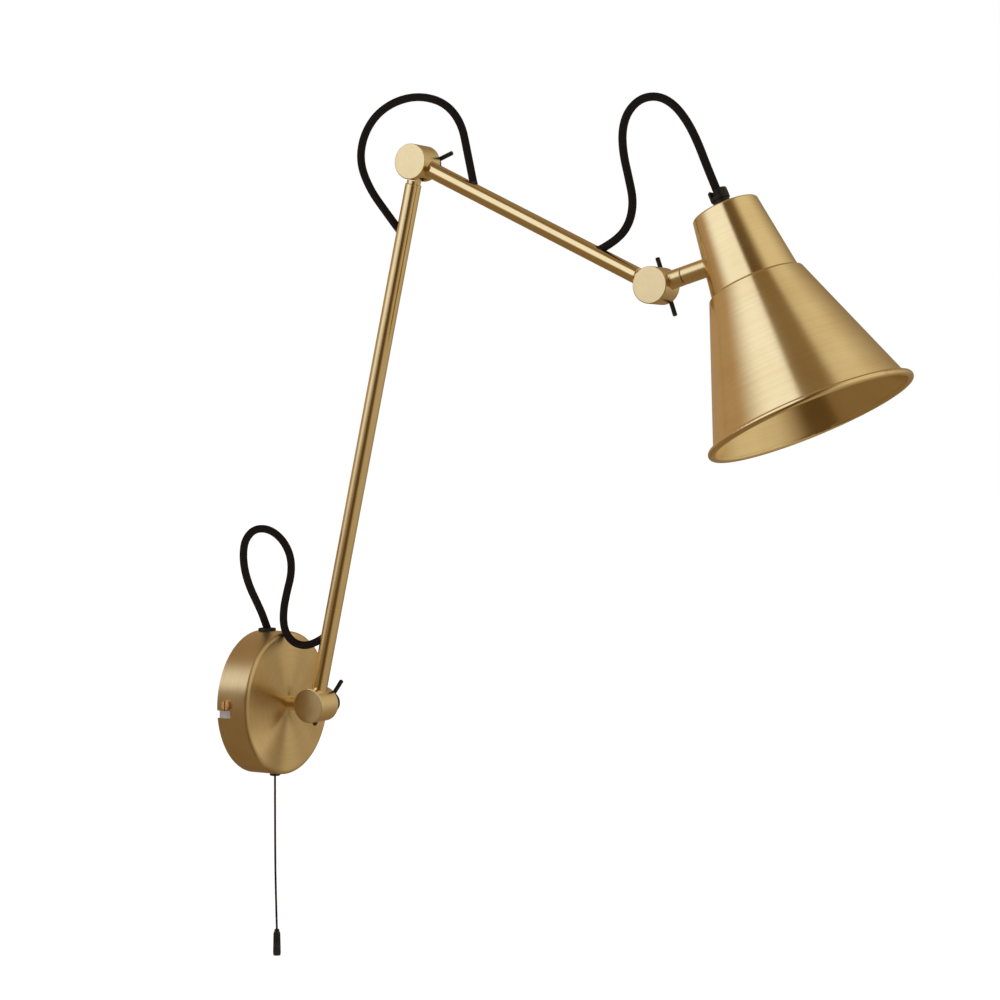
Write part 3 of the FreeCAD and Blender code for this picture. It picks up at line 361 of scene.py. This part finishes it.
@dataclass(frozen=True)
class PlainBrass(Finish):
    """Bright turned brass of screws, nuts and contacts."""

    name: str
    tint: Triple = (0.80, 0.50, 0.22)
    worn: Triple = (0.62, 0.34, 0.14)
    roughness: float = 0.24
    stain_gloss: float = 0.2
    stain_scale: float = 420.0
    scratch_scale: float = 2600.0
    scratch_depth: float = 0.00001

    def make(self) -> bpy.types.Material:
        """Build the material.

        Returns:
            The material.
        """
        book = self.start()
        local = Spindle().coordinates(book)[0]
        stain = book.noise(local, self.stain_scale, detail=3.0)
        scratch = book.noise(local, self.scratch_scale)
        return self.close(book, {
            "Base Color": book.blend(stain.step(0.38, 0.7), self.tint, self.worn),
            "Metallic": 1.0,
            "Roughness": self.roughness + stain * self.stain_gloss,
            "Normal": book.bump(scratch, self.scratch_depth)})


@dataclass(frozen=True)
class BlackEnamel(Finish):
    """Satin black coating on metal, with a faint orange peel and rubbed patches."""

    name: str
    colour: Triple = (0.012, 0.0105, 0.0095)
    rubbed: Triple = (0.034, 0.030, 0.027)
    roughness: float = 0.42
    shine: float = 0.3
    wear_gloss: float = 0.25
    wear_scale: float = 160.0
    peel_scale: float = 1500.0
    peel_depth: float = 0.00003

    def make(self) -> bpy.types.Material:
        """Build the material.

        Returns:
            The material.
        """
        book = self.start()
        local = Spindle().coordinates(book)[0]
        peel = book.noise(local, self.peel_scale)
        wear = book.noise(local, self.wear_scale, detail=3.0, roughness=0.6)
        return self.close(book, {
            "Base Color": book.blend(wear.step(0.52, 0.72), self.colour, self.rubbed),
            "Roughness": self.roughness + (wear - 0.5) * self.wear_gloss,
            "Specular IOR Level": self.shine,
            "Normal": book.bump(peel, self.peel_depth)})


class Plastic(Enum):
    """Moulded plastics and rubber: colour, second colour, roughness and grain in metres."""

    BLACK_NYLON = ((0.009, 0.0078, 0.0070), (0.018, 0.016, 0.0145), 0.46, 0.00002)
    BLACK_PHENOLIC = ((0.012, 0.011, 0.010), (0.022, 0.018, 0.015), 0.24, 0.000006)
    WHITE_UREA = ((0.80, 0.79, 0.75), (0.755, 0.745, 0.70), 0.40, 0.00001)
    FIBRE = ((0.22, 0.10, 0.05), (0.31, 0.15, 0.08), 0.70, 0.00003)
    RUBBER = ((0.014, 0.013, 0.012), (0.028, 0.026, 0.024), 0.62, 0.00003)
    FLEX_CORE = ((0.010, 0.008, 0.007), (0.036, 0.028, 0.025), 0.82, 0.00008)

    def make(self) -> bpy.types.Material:
        """Build the material.

        Returns:
            The material.
        """
        colour, second, roughness, grain = self.value
        book = Book(bpy.data.materials.new(self.name.lower()))
        local = Spindle().coordinates(book)[0]
        cloud = book.noise(local, scale=180.0, detail=3.0)
        pores = book.noise(local, scale=2200.0)
        return Finish.close(book, {
            "Base Color": book.blend(cloud.step(0.35, 0.7), colour, second),
            "Roughness": roughness + (cloud - 0.5) * 0.16,
            "Specular IOR Level": 0.32,
            "Normal": book.bump(pores, grain)})


@dataclass(frozen=True)
class ZincSteel(Finish):
    """Zinc plated pressed steel with a faint crystal pattern."""

    name: str
    light: Triple = (0.78, 0.78, 0.77)
    dark: Triple = (0.52, 0.53, 0.54)
    roughness: float = 0.34
    haze_gloss: float = 0.22
    crystal_scale: float = 260.0
    haze_scale: float = 90.0
    grain_scale: float = 1800.0
    grain_depth: float = 0.00001

    def make(self) -> bpy.types.Material:
        """Build the material.

        Returns:
            The material.
        """
        book = self.start()
        local = Spindle().coordinates(book)[0]
        crystals = book.add("ShaderNodeTexVoronoi",
                            inputs={"Vector": local, "Scale": self.crystal_scale})
        haze = book.noise(local, self.haze_scale, detail=3.0)
        return self.close(book, {
            "Base Color": book.blend(crystals * 0.5 + haze * 0.5, self.dark, self.light),
            "Metallic": 1.0,
            "Roughness": self.roughness + haze * self.haze_gloss,
            "Normal": book.bump(book.noise(local, self.grain_scale), self.grain_depth)})


@dataclass(frozen=True)
class Braid(Finish):
    """Braided textile sleeve that follows a cord: strands cross on its UV map.

    The map's first value goes once round the cord and its second is the length in metres.
    """

    name: str
    strands: int = 12
    pitch: float = 0.0015
    # Colours of the gaps and the crowns of the strands: the weave mixes them as painted shade in
    # the gaps, along with the yarn's own flecks and fibres.
    dark: Triple = (0.0055, 0.0038, 0.0034)
    light: Triple = (0.024, 0.0165, 0.0145)
    relief: float = 0.00022
    roughness: float = 0.88
    weave_gloss: float = 0.12
    shine: float = 0.16
    fibre_scale: float = 5200.0
    fleck_scale: float = 1100.0

    def make(self) -> bpy.types.Material:
        """Build the material.

        Returns:
            The material.
        """
        book = self.start()
        across, length, _ = book.split(book.add("ShaderNodeUVMap", {"uv_map": "flex"}))
        rise = length / (2.0 * self.pitch)
        one = across * float(self.strands) + rise
        other = across * float(self.strands) - rise
        weave = abs((one * math.pi).sine()) * abs((other * math.pi).sine())
        local = Spindle().coordinates(book)[0]
        fibres = book.noise(local, self.fibre_scale, roughness=0.7)
        fleck = book.noise(local, self.fleck_scale)
        # The weave term here is painted shade between the strands; fleck and fibres are the yarn's
        # own colour.
        tone = weave * 0.55 + fleck.step(0.45, 0.75) * 0.3 + (fibres - 0.5) * 0.4
        return self.close(book, {
            "Base Color": book.blend(tone, self.dark, self.light),
            "Roughness": self.roughness - weave * self.weave_gloss,
            "Specular IOR Level": self.shine,
            "Normal": book.bump(weave + fibres * 0.25, self.relief)})


# ---------------------------------------------------------------- shaping
def finish_mesh(name: str, bm: bmesh.types.BMesh, material: bpy.types.Material,
                smooth_below: float = 35.0) -> bpy.types.Object:
    """Turn a bmesh into a shown object at the origin.

    Args:
        name: the piece's name.
        bm: its geometry in metres, which is freed.
        material: its finish.
        smooth_below: edges sharper than this many degrees stay crisp.

    Returns:
        The new object.
    """
    for face in bm.faces:
        face.smooth = True
    for edge in bm.edges:
        if len(edge.link_faces) == 2:
            edge.smooth = edge.calc_face_angle(0.0) < math.radians(smooth_below)
    mesh = bpy.data.meshes.new(name)
    bm.to_mesh(mesh)
    bm.free()
    mesh.materials.append(material)
    obj = bpy.data.objects.new(name, mesh)
    bpy.context.scene.collection.objects.link(obj)
    return obj


def spline_line(name: str, route: Sequence[Triple]) -> list[Vector]:
    """Points on the smooth spline that has a route's points as its control points.

    Args:
        name: a name for the helper curve.
        route: the route in metres.

    Returns:
        The points in order.
    """
    curve = bpy.data.curves.new(name, "CURVE")
    curve.dimensions = "3D"
    spline = curve.splines.new("NURBS")
    spline.points.add(len(route) - 1)
    for point, place in zip(spline.points, route):
        point.co = (*place, 1.0)
    spline.order_u = SPLINE_ORDER
    spline.use_endpoint_u = True
    curve.resolution_u = CORD_STEPS
    spline.resolution_u = CORD_STEPS
    helper = bpy.data.objects.new(name, curve)
    mesh = bpy.data.meshes.new_from_object(helper)
    line = [vertex.co.copy() for vertex in mesh.vertices]
    bpy.data.meshes.remove(mesh)
    bpy.data.objects.remove(helper)
    bpy.data.curves.remove(curve)
    return line


def line_length(line: Sequence[Vector]) -> float:
    """Length of a line of points."""
    return sum((b - a).length for a, b in zip(line, line[1:]))


def skin(bm: bmesh.types.BMesh, rings: Sequence[Sequence[bmesh.types.BMVert]]) -> None:
    """Join rings of vertices, one to the next, and close both ends.

    Args:
        bm: the geometry that holds the rings.
        rings: the rings in order.
    """
    for first, second in zip(rings, rings[1:]):
        edges = dict.fromkeys(edge for ring in (first, second) for vertex in ring
                              for edge in vertex.link_edges if edge.other_vert(vertex) in ring)
        bmesh.ops.bridge_loops(bm, edges=list(edges))
    for ring in (rings[0], rings[-1]):
        bmesh.ops.contextual_create(bm, geom=ring)


def sweep(line: Sequence[Vector], radius: float, sides: int = 20,
          span: tuple[int, int] = (0, -1)) -> bmesh.types.BMesh:
    """A round tube along part of a line, with a UV map that goes round it and along it.

    Args:
        line: the whole centre line in metres.
        radius: the tube's radius.
        sides: faces round it.
        span: first and last point of the part, so that two parts of one line meet ring to ring.

    Returns:
        The tube, closed at both ends.
    """
    first, last = (index % len(line) for index in span)
    bm = bmesh.new()
    tangent = (line[1] - line[0]).normalized()
    side = tangent.orthogonal().normalized()
    places: dict[bmesh.types.BMVert, tuple[int, float]] = {}
    travelled, before, rings = 0.0, line[0], []
    for index, point in enumerate(line):
        ahead = (line[min(index + 1, len(line) - 1)] - line[max(index - 1, 0)]).normalized()
        side = (tangent.rotation_difference(ahead) @ side).normalized()
        tangent = ahead
        travelled += (point - before).length
        before = point
        if first <= index <= last:
            basis = Matrix((side, tangent.cross(side), tangent)).transposed().to_4x4()
            basis.translation = point
            circle = bmesh.ops.create_circle(bm, segments=sides, radius=radius, matrix=basis)
            rings.append(circle["verts"])
            places.update({vertex: (number, travelled) for number, vertex in enumerate(rings[-1])})
    skin(bm, rings)
    bmesh.ops.recalc_face_normals(bm, faces=bm.faces)
    layer = bm.loops.layers.uv.new("flex")
    for face in bm.faces:
        numbers = [places[loop.vert][0] for loop in face.loops]
        wraps = len(numbers) == 4 and max(numbers) - min(numbers) > 1
        for loop, number in zip(face.loops, numbers):
            number += sides if wraps and number == 0 else 0
            loop[layer].uv = (number / sides, places[loop.vert][1])
    return bm


# ---------------------------------------------------------------- studio
@dataclass(frozen=True)
class Ramp:
    """An ease from one value to another between two angles in degrees."""

    low: float
    high: float
    start: float = 0.0
    end: float = 1.0

    def at(self, angle: Signal) -> Signal:
        """The ease's value at an angle."""
        return angle.step(self.low, self.high, self.start, self.end)


@dataclass(frozen=True)
class Patch:
    """A patch of light with soft edges: its colour and the ramps that bound it.

    Angles round are from the camera's direction, positive to the right. The slanted ramps
    bound it along an edge that leans as it rises. Angles up are from the horizon.
    """

    colour: Triple
    round: tuple[Ramp, ...]
    up: tuple[Ramp, ...]
    slanted: tuple[Ramp, ...] = ()

    def share(self, angle: Signal, slant: Signal, rise: Signal) -> Signal:
        """How much of the light is the patch's.

        Args:
            angle: the angle round.
            slant: the angle round, leaning as it rises.
            rise: the angle up.

        Returns:
            0 outside the patch, up to 1 inside.
        """
        parts = [ramp.at(angle) for ramp in self.round]
        parts += [ramp.at(slant) for ramp in self.slanted]
        parts += [ramp.at(rise) for ramp in self.up]
        return math.prod(parts[1:], start=parts[0])


@dataclass
class Studio:
    """Camera, soft light from all round and a plain pale floor."""

    target: Triple = (0.0, -0.19585, 0.1444)
    azimuth: float = -59.75
    elevation: float = 1.67
    distance: float = 1.66595
    lens: float = 90.42
    sensor: float = 36.0
    near: float = 0.05
    far: float = 60.0
    shadow: Triple = (0.225, 0.150, 0.072)
    dusk: Patch = Patch((0.42, 0.29, 0.17), (Ramp(-100.0, -60.0, 1.0, 0.0),),
                        (Ramp(-16.0, 4.0), Ramp(24.0, 60.0, 1.0, 0.45)))
    gap: Patch = Patch((0.105, 0.062, 0.024), (Ramp(-30.0, -18.0), Ramp(4.0, 24.0, 1.0, 0.0)),
                       (Ramp(36.0, 60.0, 1.0, 0.0),))
    fill: Patch = Patch((0.72, 0.63, 0.46), (Ramp(4.0, 42.0), Ramp(82.0, 165.0, 1.0, 0.1)),
                        (Ramp(-30.0, 12.0, 0.35, 1.0), Ramp(60.0, 88.0, 1.0, 0.5)))
    window: Patch = Patch((1.0, 1.02, 1.06), (Ramp(-108.0, -72.0),),
                          (Ramp(-8.0, 6.0), Ramp(48.0, 70.0, 1.0, 0.0)),
                          (Ramp(-27.0, -19.0, 1.0, 0.0),))
    lean_rise: Ramp = Ramp(28.0, 80.0)
    lean: float = 45.0
    floor_drop: float = 0.27
    floor_size: float = 20.0
    floor_dark: Triple = (0.93, 0.93, 0.925)
    floor_light: Triple = (0.95, 0.95, 0.945)
    floor_glow: Triple = (0.64, 0.68, 0.76)

    def back(self) -> Vector:
        """Unit vector from the target to the camera."""
        a, e = math.radians(self.azimuth), math.radians(self.elevation)
        return Vector((math.sin(a) * math.cos(e), -math.cos(a) * math.cos(e), math.sin(e)))

    def build_camera(self) -> None:
        """Place the camera."""
        data = bpy.data.cameras.new("camera")
        data.lens, data.sensor_width = self.lens, self.sensor
        data.clip_start, data.clip_end = self.near, self.far
        camera = bpy.data.objects.new("camera", data)
        camera.location = Vector(self.target) + self.back() * self.distance
        camera.rotation_mode = "QUATERNION"
        camera.rotation_quaternion = (-self.back()).to_track_quat("-Z", "Y")
        bpy.context.scene.collection.objects.link(camera)
        bpy.context.scene.camera = camera

    def build_light(self) -> None:
        """Soft light from all round: a large window on one side, a broad fill on the other."""
        book = Book(bpy.data.worlds.new("studio"))
        bpy.context.scene.world = book.owner
        x, y, z = book.split(book.add("ShaderNodeTexCoord", output="Generated"))
        a = math.radians(self.azimuth)
        ahead = x * math.sin(a) - y * math.cos(a)
        right = x * math.cos(a) + y * math.sin(a)
        angle = right.turn_from(ahead) * DEGREES
        rise = z.rise() * DEGREES
        slant = angle + self.lean_rise.at(rise) * self.lean
        colour: Triple | Signal = self.shadow
        for patch in (self.dusk, self.gap, self.fill, self.window):
            colour = book.blend(patch.share(angle, slant, rise), colour, patch.colour)
        seen = book.add("ShaderNodeLightPath", output="Is Camera Ray")
        lit = book.add("ShaderNodeBackground", inputs={"Color": colour, "Strength": 1.0})
        white = {"Color": (1.0, 1.0, 1.0, 1.0), "Strength": 1.0}
        plain = book.add("ShaderNodeBackground", inputs=white)
        both = book.add("ShaderNodeMixShader", inputs={0: seen, 1: lit, 2: plain})
        book.add("ShaderNodeOutputWorld", inputs={"Surface": both})
        bpy.context.scene.view_settings.view_transform = "Standard"

    def build_floor(self) -> None:
        """A wide pale floor below the object."""
        book = Book(bpy.data.materials.new("floor"))
        local = Spindle().coordinates(book)[0]
        shade = book.blend(book.noise(local, scale=3.0), self.floor_dark, self.floor_light)
        Finish.close(book, {"Base Color": shade, "Roughness": 0.9,
                            "Emission Color": (*self.floor_glow, 1.0), "Emission Strength": 1.0})
        bm = bmesh.new()
        drop = Matrix.Translation((0.0, 0.0, CAD_BOX[0].z - self.floor_drop))
        bmesh.ops.create_grid(bm, x_segments=2, y_segments=2, size=self.floor_size, matrix=drop)
        floor = finish_mesh("floor", bm, book.owner)
        floor.visible_glossy = False


# ---------------------------------------------------------------- cords
class Routes:
    """Centre lines of the cords, in metres, as the frame has them."""

    BASE: tuple[Triple, ...] = (
        (0, -0.0065, 0.05175), (-0.005, -0.0065, 0.061), (-0.0125, -0.0065, 0.071),
        (-0.0205, -0.0065, 0.0815), (-0.027, -0.007, 0.093), (-0.0305, -0.008, 0.105),
        (-0.029, -0.009, 0.1155), (-0.0225, -0.0125, 0.1225), (-0.013, -0.018, 0.122),
        (-0.0055, -0.024, 0.1145), (-0.0015, -0.028, 0.103), (-0.0015, -0.0285, 0.0905),
        (-0.0035, -0.026, 0.078), (-0.0055, -0.0245, 0.066), (-0.0065, -0.025, 0.055),
        (-0.006, -0.0285, 0.0465), (-0.004, -0.0355, 0.0412), (-0.0013, -0.045, 0.0413),
        (0, -0.05275, 0.04608))
    ELBOW: tuple[Triple, ...] = (
        (0, -0.11606, 0.32704), (0, -0.10554, 0.3395), (0, -0.09304, 0.355), (0, -0.08504, 0.373),
        (0, -0.08754, 0.3905), (0, -0.09804, 0.405), (0, -0.11454, 0.4135), (0, -0.13404, 0.4155),
        (0, -0.15354, 0.4095), (0, -0.16604, 0.3955), (0, -0.17054, 0.3765), (0, -0.1753, 0.35548))
    HEAD: tuple[Triple, ...] = (
        (0, -0.27237, 0.30814), (0, -0.283, 0.31303), (0, -0.292, 0.32303), (0, -0.295, 0.33703),
        (0, -0.2915, 0.35253), (0, -0.2875, 0.36803), (0, -0.2865, 0.38303), (0, -0.2905, 0.39503),
        (0, -0.3, 0.40303), (0, -0.3125, 0.40373), (0, -0.3235, 0.39773), (0, -0.3328, 0.38673),
        (0, -0.3403, 0.37303), (0, -0.34764, 0.35533), (0, -0.35381, 0.34166))
    PULL: tuple[Triple, ...] = (
        (0, -0.013, -0.031), (0, -0.0128, -0.09), (0, -0.0132, -0.13), (0, -0.0142, -0.16))


@dataclass
class FlexLoop:
    """A free stretch of the flex round a knuckle.

    A loop that crosses two joints is made as two parts that meet at its highest point.
    bend_start is not used.
    """

    name: str
    node: str
    route: Sequence[Triple]
    bodies: tuple[str, ...]
    bend_start: Triple | None = None
    diameter: float = 5.4 * MM
    line: list[Vector] = field(default_factory=list)

    def build(self, material: bpy.types.Material) -> list[bpy.types.Object]:
        """Sweep the loop, as two parts that meet at its highest point when three bodies are
        listed.

        Args:
            material: the braid.

        Returns:
            The loop's parts.
        """
        self.line = spline_line(self.name, self.route)
        last = len(self.line) - 1
        if len(self.bodies) == 2:
            return [self.part(self.name, (0, last), self.bodies, material)]
        top = max(range(last), key=lambda index: self.line[index].z)
        return [self.part(self.name + "_rise", (0, top), self.bodies[:2], material),
                self.part(self.name + "_fall", (top, last), self.bodies[1:], material)]

    def part(self, name: str, span: tuple[int, int], bodies: tuple[str, ...],
             material: bpy.types.Material) -> bpy.types.Object:
        """Make one part of the loop.

        Args:
            name: the part's name.
            span: its first and last point on the line.
            bodies: not used.
            material: the braid.

        Returns:
            The part.
        """
        tube = sweep(self.line, self.diameter / 2, span=span)
        piece = finish_mesh(name, tube, material, smooth_below=60.0)
        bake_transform(piece)
        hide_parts(self.node)
        return piece


@dataclass
class PullCord:
    """The switch's pull cord and the ribbed toggle on its end.

    The toggle tapers between two radii. Its neck lists depths below its top, and its foot
    heights above its lowest point, each with the share of the taper's radius found there.
    """

    diameter: float = 1.5 * MM
    top_radius: float = 2.4 * MM
    foot_radius: float = 2.8 * MM
    neck: tuple[tuple[float, float], ...] = (
        (0.0, 0.52), (0.0005, 0.72), (0.0022, 0.80), (0.0026, 0.97), (0.0036, 1.0))
    foot: tuple[tuple[float, float], ...] = ((0.0016, 1.0), (0.0009, 0.95), (0.0, 0.90))
    ribs: int = 14
    sides_per_rib: int = 4
    rib_depth: float = 0.22 * MM
    line: list[Vector] = field(default_factory=list)

    def build_toggle(self, material: bpy.types.Material) -> bpy.types.Object:
        """Turn the toggle's outline, then press its ribs in.

        Args:
            material: its plastic.

        Returns:
            The toggle.
        """
        low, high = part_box("pull_toggle")
        centre = Vector(((low.x + high.x) / 2, (low.y + high.y) / 2, 0.0))
        segments = self.ribs * self.sides_per_rib
        outline = [(high.z - depth, share) for depth, share in self.neck]
        outline += [((high.z + low.z) / 2, 1.0)]
        outline += [(low.z + height, share) for height, share in self.foot]
        bm = bmesh.new()
        rings = []
        for height, share in outline:
            along = (high.z - height) / (high.z - low.z)
            radius = share * (self.top_radius + (self.foot_radius - self.top_radius) * along)
            place = Matrix.Translation(centre + Vector((0.0, 0.0, height)))
            circle = bmesh.ops.create_circle(bm, segments=segments, radius=radius, matrix=place)
            rings.append(circle["verts"])
        skin(bm, rings)
        for ring in rings[len(self.neck) - 1:len(self.neck) + 2]:
            for number in range(0, segments, self.sides_per_rib):
                for vertex in (ring[number], ring[number + 1]):
                    outward = (vertex.co - centre) * Vector((1.0, 1.0, 0.0))
                    inward = -outward.normalized() * self.rib_depth
                    bmesh.ops.translate(bm, verts=[vertex], vec=inward)
        bmesh.ops.recalc_face_normals(bm, faces=bm.faces)
        toggle = finish_mesh("toggle", bm, material, smooth_below=30.0)
        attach(toggle, "pull_cord")
        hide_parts("pull_toggle")
        return toggle

    def build(self, cord: bpy.types.Material, plastic: bpy.types.Material) -> bpy.types.Object:
        """Sweep the cord down to its toggle.

        Args:
            cord: the cord's braid.
            plastic: the toggle's plastic.

        Returns:
            The cord.
        """
        toggle = self.build_toggle(plastic)
        self.line = spline_line("pull_line", Routes.PULL)
        tube = sweep(self.line, self.diameter / 2, sides=12)
        piece = finish_mesh("pull_line", tube, cord, smooth_below=60.0)
        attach(piece, "pull_cord")
        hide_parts("pull_cord")
        return piece


# ---------------------------------------------------------------- sub-assemblies
def dress(material: bpy.types.Material, *nodes: str) -> None:
    """Give CAD nodes a finish.

    Args:
        material: the finish.
        nodes: the nodes' names.
    """
    LOG.info("%s: %s", material.name, ", ".join(nodes))
    for node in nodes:
        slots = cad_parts[node].data.materials
        slots.clear()
        slots.append(material)


@dataclass
class WallRose:
    """The rose on the wall, its bracket and the stem."""

    axis: Spindle = Spindle((0.0, 0.0, 0.0), (90.0, 0.0, 0.0))

    def dress(self, shared: "Shared") -> None:
        """Finish the rose's pieces and what is fixed to it.

        Args:
            shared: the finishes that several sub-assemblies use.
        """
        # Darker, browner brass than the other parts: partly the rose's coarser satin finish,
        # partly painted shade that darkens the whole rose.
        rose = SatinBrass("rose_brass", self.axis, (0.80, 0.635, 0.37), (0.73, 0.56, 0.315),
                          roughness=0.37, depth=0.00009, fan=0.34)
        dress(rose.make(), "rose_cup")
        dress(SatinBrass("stem_brass", self.axis).make(), "stem")
        dress(shared.screw, "rose_screws", "earth_screw", "terminal_screws", "stem_nut",
              "stem_washer")
        dress(ZincSteel("zinc_steel").make(), "wall_bracket")
        dress(shared.rubber, "flex_grommet")
        dress(shared.nylon, "cord_guide")
        dress(shared.white, "terminal_block", "pull_switch", "switch_plunger")


@dataclass
class Knuckle:
    """A drum with its washers and black clamp screw."""

    name: str
    pivot: Triple

    def dress(self, shared: "Shared") -> None:
        """Finish the knuckle's pieces.

        Args:
            shared: the finishes that several sub-assemblies use.
        """
        axis = Spindle(self.pivot, (0.0, 90.0, 0.0))
        brass = SatinBrass(self.name + "_drum_brass", axis, roughness=0.22).make()
        dress(brass, self.name + "_drum")
        dress(shared.fibre, self.name + "_washers")
        dress(shared.enamel, self.name + "_clamp_screw", self.name + "_clamp_bar")


@dataclass
class Arm:
    """A tube with the tongue at its far end. Its turn is in degrees, from +Z towards -Y."""

    name: str
    pivot: Triple
    turn: float

    def dress(self, shared: "Shared") -> None:
        """Finish the arm's pieces.

        Args:
            shared: the finishes that several sub-assemblies use.
        """
        axis = Spindle(self.pivot, (self.turn, 0.0, 0.0))
        brass = SatinBrass(self.name + "_brass", axis, roughness=0.13, depth=0.000015).make()
        dress(brass, self.name + "_tube", self.name + "_tongue")


@dataclass
class Head:
    """Swivel, shade, cord grip and lampholder. Turns are in degrees."""

    pivot: Triple
    top: Triple
    swivel_turn: float = 73.77
    tilt: float = 24.3

    def dress(self, shared: "Shared") -> None:
        """Finish the head's pieces.

        Args:
            shared: the finishes that several sub-assemblies use.
        """
        swivel = Spindle(self.pivot, (self.swivel_turn, 0.0, 0.0))
        shade = Spindle(self.top, (-self.tilt, 0.0, 0.0))
        brass = SatinBrass("swivel_brass", swivel, roughness=0.27).make()
        dress(brass, "swivel_stub", "swivel_sleeve")
        dress(SatinBrass("shade_brass", shade).make(), "shade")
        dress(shared.nylon, "cord_grip")
        dress(shared.screw, "sleeve_nut", "retainer_washer", "retainer_screw", "nipple",
              "nipple_washer", "nipple_nut", "lamp_contact")
        dress(shared.phenolic, "holder_cap", "holder_body")


@dataclass
class Shared:
    """Finishes that several sub-assemblies use."""

    screw: bpy.types.Material = field(default_factory=lambda: PlainBrass("screw_brass").make())
    enamel: bpy.types.Material = field(default_factory=lambda: BlackEnamel("black_enamel").make())
    nylon: bpy.types.Material = field(default_factory=Plastic.BLACK_NYLON.make)
    phenolic: bpy.types.Material = field(default_factory=Plastic.BLACK_PHENOLIC.make)
    rubber: bpy.types.Material = field(default_factory=Plastic.RUBBER.make)
    white: bpy.types.Material = field(default_factory=Plastic.WHITE_UREA.make)
    fibre: bpy.types.Material = field(default_factory=Plastic.FIBRE.make)
    core: bpy.types.Material = field(default_factory=Plastic.FLEX_CORE.make)
    braid: bpy.types.Material = field(default_factory=lambda: Braid("flex_braid").make())


def main() -> None:
    """Build the studio, the cords and the looks of every sub-assembly."""
    studio = Studio()
    studio.build_camera()
    shared = Shared()
    loops = (
        FlexLoop("base_flex", "flex_base_loop", Routes.BASE, ("wall", "lower_arm"),
                 bend_start=(0.0, -0.0318, 0.0461)),
        FlexLoop("elbow_flex", "flex_elbow_loop", Routes.ELBOW, ("lower_arm", "upper_arm")),
        FlexLoop("head_flex", "flex_head_loop", Routes.HEAD,
                 ("upper_arm", "head_knuckle", "shade")))
    for loop in loops:
        parts = loop.build(shared.braid)
        names = ", ".join(part.name for part in parts)
        LOG.info("%s: %.1f mm", names, line_length(loop.line) / MM)
    pull = PullCord()
    braid = Braid("pull_braid", strands=6, pitch=0.0009, relief=0.0001).make()
    cord = pull.build(braid, shared.nylon)
    LOG.info("%s and its toggle: %.1f mm", cord.name, line_length(pull.line) / MM)
    dress(shared.core, "flex_in_rose", "flex_in_lower_arm", "flex_in_upper_arm", "flex_in_shade",
          "flex_base_loop", "flex_elbow_loop", "flex_head_loop", "pull_cord", "pull_toggle")
    WallRose().dress(shared)
    base = (0.0, -0.048, 0.0)
    elbow = (0.0, -0.1315416, 0.3707031)
    head = (0.0, -0.3113004, 0.2830289)
    for knuckle in (Knuckle("base", base), Knuckle("elbow", elbow), Knuckle("head", head)):
        knuckle.dress(shared)
    for arm in (Arm("lower_arm", base, turn=12.7), Arm("upper_arm", elbow, turn=116.0)):
        arm.dress(shared)
    Head(head, top=(0.0, -0.3593241, 0.329449)).dress(shared)
    studio.build_light()
    studio.build_floor()


if __name__ == "__main__":
    logging.basicConfig(level=logging.INFO)
    main()
